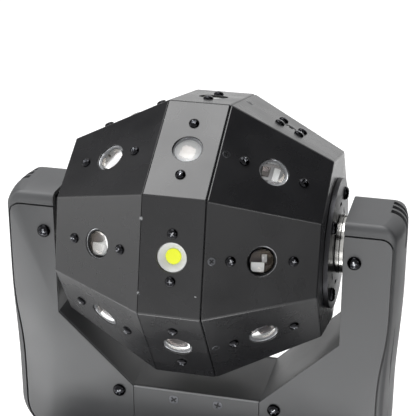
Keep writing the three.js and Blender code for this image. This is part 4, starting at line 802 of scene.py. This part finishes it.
# %% Eight flat screws along the seam
SEAM_SCREWS = 4.6
up_to_seam = shifted(x=SEAM_SCREWS - TAPER / 2)
seam_places = [ON_HEAD @ panel_place(1, turn) @ up_to_seam for turn in range(PANELS)]
screws("seam_screws", flat_head, seam_places, "head")

# %% [markdown]
# ## End flanges and hubs
# A steel flange is bolted to each end of the head. Its ring of slots lets the cables through and the
# heat out. The turned hub in its middle runs in the arm's bearing.

# %% Flange, slots and bolts, drawn for the right end
FLANGE = (78.1, 80.7)
FLANGE_RADIUS = 39.0
SLOTS = 8
SLOT_CIRCLE = 23.5
SLOT_STRAIGHT = 2.4
SLOT_RADIUS = 1.1
SLOT_CUT = (77.0, 82.0)
BOLT_CIRCLE = 31.5
BOLT_TURN = 28.0
flange_profile = [
    (FLANGE[0], SHAFT_CLEARANCE), (FLANGE[0], FLANGE_RADIUS), (FLANGE[1], FLANGE_RADIUS),
    (FLANGE[1], SHAFT_CLEARANCE), (FLANGE[0], SHAFT_CLEARANCE),
]
flange = spun("flange", flange_profile, "X", steps=96)
slot_outline = arc(SLOT_STRAIGHT, SLOT_CIRCLE, SLOT_RADIUS, -90, 90, 6)
slot_outline += arc(-SLOT_STRAIGHT, SLOT_CIRCLE, SLOT_RADIUS, 90, 270, 6)
slot = along_x("flange_slot", slot_outline, *SLOT_CUT)
more_slots = [copied(slot, "slot", rotation(360 / SLOTS * i, "X")) for i in range(1, SLOTS)]
flange = smoothed(eased(cut(flange, joined("slots", slot, *more_slots)), 0.35, 2), 30)
flange = dressed(flange, black_plate)
bolt_top = shifted(FLANGE[1], 0, BOLT_CIRCLE) @ rotation(90, "Y")
bolt_places = [rotation(90 * i - BOLT_TURN, "X") @ bolt_top for i in range(4)]

# %% Hub and shaft
hub_profile = [
    (73, 6), (73, 12), (81, 12), (81, 17.1), (81.4, 17.6), (83.4, 17.6), (83.7, 17.2), (84.0, 17.6),
    (86.0, 17.6), (86.4, 17.1), (86.4, 10), (106, 10), (106, 6), (73, 6),
]
hub = turned("hub", hub_profile, polished_steel, 72, "X")
for side, word, _ in SIDES:
    end = ON_HEAD @ rotation(90 - 90 * side)
    disc = copied(flange, f"end_flange_{word}_disc", end)
    handed(disc, "head", "black_oxide_steel", f"end_flange_{word}")
    bolts_at = [end @ place for place in bolt_places]
    screws(f"end_flange_{word}_bolts", pan_head, bolts_at, "head", f"end_flange_{word}", share=M4_SHARE)
    handed(copied(hub, f"tilt_shaft_{word}_hub", end), "head", "polished_steel", f"tilt_shaft_{word}")
print("screws so far:", len(screws_placed))

# %% [markdown]
# ## Yoke arms
# The yoke is a folded steel frame. Outside, each arm is closed by a moulded cover with a crowned
# outer side, three vent slots in its shoulder and a shallow flute down each corner. In front and
# behind, flat steel plates lie in a recess of the cover, with a thin dark groove round them. Between
# the arms a panel closes the front. A small chamfer along its top edge is painted pale, a painted
# highlight where that edge catches the light.

# %% Outlines of an arm, in X and Z from the tilt axis
ARM_INNER = 87.7
ARM_DEPTH = 28.3
PLATE = 2.0
PLATE_TOP = 17.7
FOOT = -140.0
PANEL_TOP = -99.0
MIDDLE_HALF = 39.95
GROOVE = 0.3
# Width of the front panel's top chamfer, which is painted pale as a highlight
HIGHLIGHT_CHAMFER = 0.7
OVERRUN = 1.0
AT_AXIS = shifted(z=AXIS_HEIGHT)


def bezier(a, b, c, d, count=12):
    """Points of a cubic curve."""
    made = []
    for i in range(count + 1):
        t = i / count
        shares = ((1 - t) ** 3, 3 * t * (1 - t) ** 2, 3 * t * t * (1 - t), t ** 3)
        made.append(tuple(sum(s * p[k] for s, p in zip(shares, (a, b, c, d))) for k in (0, 1)))
    return made


def plate_edge(margin=0.0):
    """Outer edge of an arm's plate from its top to its foot, moved out by a margin."""
    top, low = 116 + margin, 111.2 + margin
    side = bezier((top, -26), (top, -59), (low, -59), (low, -92))
    return arc(109, 10.7, 7 + margin, 90, 0) + side + arc(91.2, -120, 20 + margin, 0, -90)


# %% Steel plates and their screws
slope = [(40.5, PANEL_TOP), (ARM_INNER, -53)]
foot_end = [(MIDDLE_HALF + 0.3, FOOT), (MIDDLE_HALF + 0.3, PANEL_TOP)]
arm_plate_line = [(ARM_INNER, PLATE_TOP - GROOVE)] + plate_edge(-GROOVE) + foot_end + slope
arm_plate = along_y("arm_plate", arm_plate_line, -ARM_DEPTH, PLATE - ARM_DEPTH)
arm_plate = dressed(smoothed(eased(arm_plate, 0.5, 3)), charcoal_coat)
arm_plate.data.transform(AT_AXIS)
for _, word, mirror in SIDES:
    plate = copied(arm_plate, f"plate_front_{word}", mirror)
    handed(plate, "yoke", "powder_coated_steel", f"arm_plate_front_{word}")

# %% Front panel with its painted highlight edge, and the rear plate
middle_line = [
    (-MIDDLE_HALF, FOOT), (MIDDLE_HALF, FOOT), (MIDDLE_HALF, PANEL_TOP), (-MIDDLE_HALF, PANEL_TOP),
]
middle_panel = eased(along_y("yoke_middle", middle_line, -ARM_DEPTH, PLATE - ARM_DEPTH), 0.3, 3)
# A pale coat on the front panel's top chamfer, a painted highlight along that edge
painted_edge_highlight = grained("painted_highlight_on_panel_edge", "#a2a3a5", "#b4b5b7", 0.45, 0.6, 0.005)
highlight_front = -ARM_DEPTH - OVERRUN
highlight_top = PANEL_TOP + OVERRUN
highlight_line = [
    (highlight_front, PANEL_TOP - HIGHLIGHT_CHAMFER - OVERRUN), (HIGHLIGHT_CHAMFER + OVERRUN - ARM_DEPTH, highlight_top),
    (highlight_front, highlight_top),
]
highlight_half = MIDDLE_HALF + OVERRUN
highlight_edge = dressed(along_x("rubbed_corner", highlight_line, -highlight_half, highlight_half), painted_edge_highlight)
middle_panel = smoothed(cut(dressed(middle_panel, charcoal_coat), highlight_edge))
middle_panel.data.transform(AT_AXIS)
handed(middle_panel, "yoke", "powder_coated_steel", "yoke_panel_front")

right_half = [(ARM_INNER, PLATE_TOP)] + plate_edge()
left_half = [(-x, z) for x, z in reversed(right_half)]
rear_line = right_half + left_half + [(-x, z) for x, z in reversed(slope)] + slope
rear_plate = along_y("plate_rear", rear_line, ARM_DEPTH - PLATE, ARM_DEPTH)
rear_plate = smoothed(eased(rear_plate, 0.35, 3))
rear_plate.data.transform(AT_AXIS)
handed(rear_plate, "yoke", "powder_coated_steel", "yoke_plate_rear")

# %% Screws of the plates and the panel
FORWARDS = rotation(90, "X")
BACKWARDS = rotation(-90, "X")
PLATE_SCREWS = ((94.3, 1.5), (49.4, -103.3))
PANEL_SCREWS = ((-14, -105.3), (14, -105.3))
for side, word, _ in SIDES:
    ahead = [AT_AXIS @ shifted(side * x, -ARM_DEPTH, z) @ FORWARDS for x, z in PLATE_SCREWS]
    screws(f"plate_screws_{word}", pan_head, ahead, "yoke", f"arm_plate_front_{word}", share=M4_SHARE)
astern = [
    AT_AXIS @ shifted(side * x, ARM_DEPTH, z) @ BACKWARDS for x, z in PLATE_SCREWS for side in (1, -1)
]
screws("plate_screws_rear", pan_head, astern, "yoke", "yoke_plate_rear", share=M4_SHARE)
sunk = [AT_AXIS @ shifted(x, -ARM_DEPTH, z) @ FORWARDS for x, z in PANEL_SCREWS]
screws("panel_screws", flat_head, sunk, "yoke", "yoke_panel_front", share=PANEL_SCREW_SHARE)

# %% The cover's form, drawn as a plan and raised ring by ring
COVER_OUTER = 121.0
LOWER_OUTER = 118.6
SWEEP_LOW = -92.0
SWEEP_HIGH = -26.0
FOOT_BEND = -116.0
BEND_MIDDLE = 94.6
BEND_ROUND = 24.0
COVER_TOP = 25.8
COVER_WALL = 2.5
HOLLOW_HALF = 24.0
CORNER = 10.5
FRONT_ROUND = 4.5
REAR_ROUND = 19.0
CROWN = 105.0
EDGE = 3.5


def cover_plan(start, outer, half):
    """The cover seen from above: flat in front and behind, crowned outside, with rounded edges."""
    centre = outer - CROWN
    turn = math.degrees(math.asin((half - EDGE) / (CROWN - EDGE)))
    corner_x = centre + (CROWN - EDGE) * math.cos(math.radians(turn))
    line = [(start, -half)] + arc(corner_x, EDGE - half, EDGE, -90, -turn, 6)
    line += arc(centre, 0, CROWN, -turn, turn, 20)[1:-1]
    return line + arc(corner_x, half - EDGE, EDGE, turn, 90, 6) + [(start, half)]


def rounded_to(centre, reach, over, height):
    """How far a round whose height and reach may differ still reaches at some way up it."""
    return centre + reach * math.sqrt(max(0, 1 - (max(0, over) / height) ** 2))


def cover_ring(z, wall, half):
    """How far the cover reaches out, forward and back at a height, from the tilt axis."""
    if z < FOOT_BEND:
        out = rounded_to(BEND_MIDDLE, BEND_ROUND - wall, FOOT_BEND - z, BEND_ROUND - wall)
    elif z < SWEEP_HIGH:
        share = max(0, (z - SWEEP_LOW) / (SWEEP_HIGH - SWEEP_LOW))
        out = LOWER_OUTER - wall + (COVER_OUTER - LOWER_OUTER) * share * share * (3 - 2 * share)
    else:
        out = rounded_to(COVER_OUTER - CORNER, CORNER - wall, z - COVER_TOP + CORNER, CORNER - wall)
    thinner = ARM_DEPTH - half
    front, rear = (
        rounded_to(ARM_DEPTH - top_round, top_round - thinner, z - COVER_TOP + top_round, top_round - wall)
        for top_round in (FRONT_ROUND, REAR_ROUND)
    )
    return out, -front, rear


def cover_raised(name, start, wall=0.0, half=ARM_DEPTH):
    """The plan raised through every height, each ring resized to the cover's reach there."""
    heights = [FOOT_BEND - (BEND_ROUND - wall) * math.cos(math.radians(6 * i)) for i in range(16)]
    heights += [SWEEP_LOW + 5.5 * i for i in range(13)] + [-10, -4]
    climb = REAR_ROUND - wall
    heights += [COVER_TOP - REAR_ROUND + climb * math.sin(math.radians(4 * i)) for i in range(23)]
    heights = sorted({round(z, 2) for z in heights if z < COVER_TOP - wall - 0.02})
    out, front, rear = cover_ring(heights[0], wall, half)
    outline = cover_plan(start, COVER_OUTER - wall, half)
    first = (out - start) / (COVER_OUTER - wall - start)
    piece = filled(name, [(start + (x - start) * first, y, heights[0]) for x, y in outline])
    for below, z in zip(heights, heights[1:]):
        new_out, new_front, new_rear = cover_ring(z, wall, half)
        slide = (new_rear + new_front) / 2 - (rear + front) / 2
        middle = Vector((start, (new_rear + new_front) / 2, z)) * MM
        shares = ((new_out - start) / (out - start), (new_rear - new_front) / (rear - front), 1)
        pull(0, slide, z - below)
        bpy.ops.transform.resize(value=shares, center_override=middle)
        out, front, rear = new_out, new_front, new_rear
    return closed_up(piece)


# %% Hollow it, lay the plates' recesses and cut the vents and flutes
THROUGH = (-40, 40)
LEDGE = 4.0
PLATE_GAP = 0.4
VENT = 4.5
VENT_STEP = 6.9
VENT_MIDDLE = 2.8
VENT_LOW = 3.5
VENT_HIGH = 40
VENT_FLOOR = 111.3
FLUTE_FLOOR = 117.4
OUTSIDE = 130


def plate_cutter(name, margin, start, end):
    """A cutter of the plate's outline, moved out by a margin and open towards the frame."""
    line = [(ARM_INNER - 5, PLATE_TOP + margin)] + plate_edge(margin) + [(ARM_INNER - 5, FOOT - margin)]
    return along_y(name, line, start, end)


cover = dressed(cover_raised("arm_cover", ARM_INNER), moulded_abs)
below_foot = [(80, FOOT - 5), (93, FOOT - 5), (93, PANEL_TOP), (80, PANEL_TOP)]
cover = cut(cover, along_y("below_floor", below_foot, *THROUGH))
# The hollow's and the opening's cut faces take the near-black moulding, painted shade inside the cover
hollow = dressed(cover_raised("cover_hollow", ARM_INNER - 5, COVER_WALL, HOLLOW_HALF), black_and_painted_shade)
through = dressed(plate_cutter("through", -LEDGE, *THROUGH), black_and_painted_shade)
recess_at = ARM_DEPTH - PLATE - GROOVE
front_recess = plate_cutter("recess", PLATE_GAP + GROOVE, THROUGH[0], -recess_at)
rear_recess = plate_cutter("recess", PLATE_GAP + GROOVE, recess_at, THROUGH[1])
cover = cut(cover, hollow, through, front_recess, rear_recess)
for lane in (-1, 0, 1):
    front, rear = (VENT_MIDDLE + lane * VENT_STEP + way * VENT / 2 for way in (-1, 1))
    line = [(front, VENT_LOW), (rear, VENT_LOW), (rear, VENT_HIGH), (front, VENT_HIGH)]
    cover = cut(cover, along_x("vent", line, VENT_FLOOR, OUTSIDE))
for way in (-1, 1):
    line = [(way * 19, -39), (way * 24.5, FOOT - 1), (way * 13.5, FOOT - 1)]
    cover = cut(cover, along_x("flute", line, FLUTE_FLOOR, OUTSIDE))
cover = smoothed(cover, 35)
cover.data.transform(AT_AXIS)
for _, word, mirror in SIDES:
    handed(copied(cover, f"cover_{word}", mirror), "yoke", "moulded_abs", f"arm_cover_{word}")
print("arm cover faces:", len(cover.data.polygons))

# %% [markdown]
# ## Folded frame
# The frame's form is right in the CAD model, but its edges are sharp. A copy gets its doubled points
# merged and its edges rounded as paint rounds them, and stands in its place.

# %% Eased copy of a CAD node
def eased_node(node_name, name, width, angle=35):
    """A CAD node's copy with its flats made whole and its edges rounded."""
    node = frame["nodes"][node_name]
    piece = copied(node, name, node.matrix_world)
    piece.parent = None
    piece.matrix_world = Matrix.Identity(4)
    piece.hide_render = piece.hide_viewport = False
    piece.data.materials.clear()
    edit(piece)
    bpy.ops.mesh.remove_doubles(threshold=0.002 * MM)
    bpy.ops.mesh.dissolve_limited(angle_limit=math.radians(1))
    bpy.ops.object.mode_set(mode="OBJECT")
    return smoothed(eased(piece, width, 2, angle))


yoke_frame = eased_node("yoke_frame", "folded_frame", 0.4)
handed(yoke_frame, "yoke", "powder_coated_steel", "yoke_frame")
print("folded frame faces:", len(yoke_frame.data.polygons))

# %% [markdown]
# ## Base
# The base is a moulded cover over a steel tray on four rubber feet. A display and four keys face
# forward, and the sockets are behind. The photo ends above it, so its looks follow the arms'.

# %% Base cover
BASE_BACK = 90.0
BASE_LOW = 6.0
BASE_HIGH = 72.0
BASE_CORNER = 18.0
BASE_WALL = 2.6
BASE_HALF = 112.0
LEAN = 9.0
LEAN_HEIGHT = 56.0


def base_half(height):
    """Half the base's width, which leans in as it rises."""
    return BASE_HALF - (height - BASE_LOW) * LEAN / LEAN_HEIGHT


def rounded(half_x, half_y, corner, x=0.0, y=0.0, count=6):
    """A rounded rectangle's outline round a middle."""
    line = []
    for way_x, way_y, first in ((1, 1, 0), (-1, 1, 90), (-1, -1, 180), (1, -1, 270)):
        middle_x, middle_y = x + way_x * (half_x - corner), y + way_y * (half_y - corner)
        line += arc(middle_x, middle_y, corner, first, first + 90, count)
    return line


def base_block(name, inset, low, high, top_round):
    """The base's leaning block with a rounded plan and a rounded top edge."""
    half = base_half(low) - inset
    plan = rounded(half, BASE_BACK - inset, BASE_CORNER - inset, count=12)
    piece = filled(name, [(x, y, low) for x, y in plan])
    pull(0, 0, high - low)
    share = (base_half(high) - inset) / half
    bpy.ops.transform.resize(value=(share, 1, 1), center_override=(0, 0, high * MM))
    if top_round:
        bpy.ops.mesh.bevel(offset=top_round * MM, segments=8, affect="EDGES")
    return closed_up(piece)


DISPLAY = (-34.0, 40.0)
BUTTONS = (22.0, 39.0, 56.0, 73.0)
BUTTON_HEIGHT = 40.0
FRONT_CUT = (-95, -80)
REAR_CUT = (80, 95)
base_cover = base_block("base_shell", 0.0, BASE_LOW, BASE_HIGH, 10.0)
base_cover = cut(base_cover, base_block("base_hollow", BASE_WALL, BASE_LOW - 1, BASE_HIGH - BASE_WALL, 7.4))
base_cover = cut(
    base_cover,
    along_y("window", rounded(33.3, 13.3, 1.5, *DISPLAY), *FRONT_CUT),
    along_y("rear_window", rounded(80, 20, 1, 0, 36), *REAR_CUT),
    spun("spindle_hole", [(60, 0), (60, 14.3), (80, 14.3), (80, 0)], steps=64),
)
for x in BUTTONS:
    hole = spun("button_hole", [(80, 0), (80, 4.9), (95, 4.9), (95, 0)], "Y")
    hole.data.transform(shifted(x, 0, BUTTON_HEIGHT) @ MIRROR_Y)
    hole.data.flip_normals()
    base_cover = cut(base_cover, hole)
base_cover = smoothed(eased(base_cover, 0.3, 2, 50), 35)
handed(base_cover, "base", "moulded_abs", "base_cover")
print("base cover faces:", len(base_cover.data.polygons))

# %% Display and keys
glass = smoothed(eased(along_y("display_glass", rounded(33, 13, 1.3, *DISPLAY), -89.7, -87.5), 0.3, 3))
handed(glass, "base", "display_glass", "display_module")
key_profile = [
    (80, 0), (80, 5.6), (86.6, 5.6), (86.6, 4.5), (90.6, 4.5), (91.05, 4.2), (91.2, 3.7), (90.95, 2.2),
    (90.85, 0),
]
key = turned("key", key_profile, button_rubber, 40, "Y", 40)
for count, x in enumerate(BUTTONS, 1):
    pressed = copied(key, f"key_{count}", shifted(x, 0, BUTTON_HEIGHT) @ MIRROR_Y)
    handed(pressed, f"button_{count}", "button_rubber", f"menu_button_{count}")

# %% Tray and feet
tray = smoothed(eased(base_block("tray_plate", 2.8, BASE_LOW, BASE_LOW + PLATE, 0), 0.3))
tray = dressed(tray, charcoal_coat)
foot_profile = [
    (6.5, 0), (6.5, 9.5), (5, 11), (1, 10.4), (0.3, 10), (0, 9.3), (0, 4.2), (2.2, 3.8), (2.2, 0),
]
foot = turned("foot", foot_profile, belt_rubber, angle=40)
feet = [copied(foot, "foot_in", shifted(x, y)) for x in (-88, 88) for y in (-68, 68)]
tray = joined("tray_with_feet", *feet, tray)
handed(tray, "base", "powder_coated_steel", "base_tray")

# %% Sockets and inlet
connectors = eased_node("connector_panel", "connector_plate", 0.3)
handed(connectors, "base", "powder_coated_steel", "connector_panel")
inlet = eased_node("power_inlet", "mains_inlet", 0.3)
handed(inlet, "base", "moulded_abs", "power_inlet")

# %% Take the patterns away, their copies are in place
patterns = (
    pan_head, flat_head, lens_shape, pale_front, dark_front, seat_shape, *packages.values(), cob_shape,
    flange, hub, arm_plate, cover, key, foot,
)
for pattern in patterns:
    bpy.data.objects.remove(pattern)

# %% [markdown]
# ## The works inside
# Motors, belts, pulleys and boards are hidden by the covers. Their CAD shapes are right as they are,
# so they only get their real finishes.

# %% Finishes for the CAD nodes that stay
for part in frame["record"]["subparts"]:
    node = frame["nodes"][part["node"]]
    if not node.material_slots:
        node.data.materials.append(None)
    node.material_slots[0].material = SLOT_FINISHES[part["material_slot"]]
print("CAD nodes finished:", len(frame["nodes"]))

# %% [markdown]
# ## Floor, light and camera
# The photograph was taken on white with a large soft light overhead and paler light all round. The
# world is white wherever it is seen, mirrored or looked through, and dimmer as a lamp, so the light on
# the object stays plain. The floor is pale and keeps the object's shadow.

# %% White surroundings
def shown(tree):
    """One for rays that are seen, mirrored or looked through, and none for those that only light."""
    ray = add_node(tree, "ShaderNodeLightPath")
    seen = add_node(tree, "ShaderNodeMath", {"operation": "MAXIMUM"},
                    _0=ray.outputs["Is Camera Ray"], _1=ray.outputs["Is Transmission Ray"])
    return add_node(tree, "ShaderNodeMath", {"operation": "MAXIMUM"},
                    _0=seen.outputs[0], _1=ray.outputs["Is Glossy Ray"]).outputs[0]


WORLD_LIGHT = 0.45
world = bpy.data.worlds.new("studio")
bpy.context.scene.world = world
world.use_nodes = True
sky = world.node_tree
sky.nodes.clear()
strength = add_node(sky, "ShaderNodeMapRange", Value=shown(sky), To_Min=WORLD_LIGHT, To_Max=1.0)
white = add_node(sky, "ShaderNodeBackground", Color=(1, 1, 1, 1), Strength=strength.outputs[0])
add_node(sky, "ShaderNodeOutputWorld", Surface=white.outputs[0])

# %% Pale floor
FLOOR_SIZE = 9
FLOOR_GLOW = 0.4
let_go()
bpy.ops.mesh.primitive_grid_add(x_subdivisions=8, y_subdivisions=8, size=FLOOR_SIZE)
floor = bpy.context.object
floor.name = "floor"
paper = bpy.data.materials.new("pale_floor")
paper.use_nodes = True
tree = paper.node_tree
tree.nodes.clear()
diffuse = add_node(tree, "ShaderNodeBsdfDiffuse", Color=linear("#f4f4f4"))
glow = add_node(tree, "ShaderNodeMath", {"operation": "MULTIPLY"}, _0=shown(tree), _1=FLOOR_GLOW)
light = add_node(tree, "ShaderNodeEmission", Color=(1, 1, 1, 1), Strength=glow.outputs[0])
both = add_node(tree, "ShaderNodeAddShader", _0=diffuse.outputs[0], _1=light.outputs[0])
add_node(tree, "ShaderNodeOutputMaterial", Surface=both.outputs[0])
floor.data.materials.append(paper)


# %% Soft lamps
def softbox(name, place, aim, width, height, radiance, mirrored_only=False):
    """A rectangular lamp of an even radiance, at a place in metres, turned to an aim."""
    lamp = bpy.data.lights.new(name, "AREA")
    lamp.shape = "RECTANGLE"
    lamp.size, lamp.size_y = width, height
    lamp.energy = radiance * math.pi * width * height
    box = bpy.data.objects.new(name, lamp)
    bpy.context.scene.collection.objects.link(box)
    box.location = place
    box.rotation_euler = (Vector(aim) - Vector(place)).to_track_quat("-Z", "Y").to_euler()
    box.visible_camera = False
    box.visible_diffuse = not mirrored_only


HEAD_CENTRE = (0, 0, AXIS_HEIGHT * MM)
softbox("overhead", (-0.32, 0.10, 1.75), HEAD_CENTRE, 0.95, 1.1, 6.4)
softbox("left_front", (-1.85, -0.85, 0.5), HEAD_CENTRE, 1.2, 1.4, 1.8)
softbox("low_front", (0.30, -0.80, 0.012), (0.30, -0.80, 1.0), 1.1, 0.9, 1.1)
softbox("near_front", (-0.10, -0.155, 0.008), (-0.10, -0.155, 1.0), 0.5, 0.09, 4.2, True)
softbox("right_strip", (1.09, -1.09, 0.68), HEAD_CENTRE, 0.3, 0.3, 6.0, True)

# %% Black cards at the right and left, as a photographer sets them to keep a dark side dark
felt = new_finish("black_felt", Base_Color=linear("#101010"), Roughness=0.9)[0]


def card(name, line, start, end):
    """A bent card seen only in reflections, from its line in X and Z."""
    thick = [(x + 5, z + 1) for x, z in reversed(line)]
    sheet = dressed(along_y(name, line + thick, start, end), felt)
    for ray_kind in ("camera", "diffuse", "transmission", "shadow"):
        setattr(sheet, f"visible_{ray_kind}", False)


card("right_card", [(450, 3), (1500, 8), (1500, 400), (350, 2200)], -950, 950)
card("left_card", [(-1500, 150), (-1500, 700), (-1250, 1500)], 450, 1900)
let_go()

# %% [markdown]
# ## Camera
# The camera's place was worked out from the head's own corners: it looks down at the head by about
# 23 degrees, from slightly to the right, through a long lens.

# %% Camera
CAMERA_PLACE = (0.1764, -0.7021, AXIS_HEIGHT * MM + 0.3256)
CAMERA_LOOK = Vector((-0.22278, 0.89128, -0.39496))
CAMERA_LENS = 112.91
FILM_WIDTH = 36
long_lens = bpy.data.cameras.new("camera")
long_lens.lens = CAMERA_LENS
long_lens.sensor_width = FILM_WIDTH
long_lens.clip_start, long_lens.clip_end = 0.01, 50
camera = bpy.data.objects.new("camera", long_lens)
bpy.context.scene.collection.objects.link(camera)
camera.location = CAMERA_PLACE
camera.rotation_euler = CAMERA_LOOK.to_track_quat("-Z", "Y").to_euler()
bpy.context.scene.camera = camera
bpy.context.scene.view_settings.view_transform = "Standard"

# %% Pieces left without a finish
bare = [piece.name for piece in bpy.data.objects if piece.type == "MESH" and not all(piece.data.materials)]
print("pieces with a slot that has no finish:", bare)
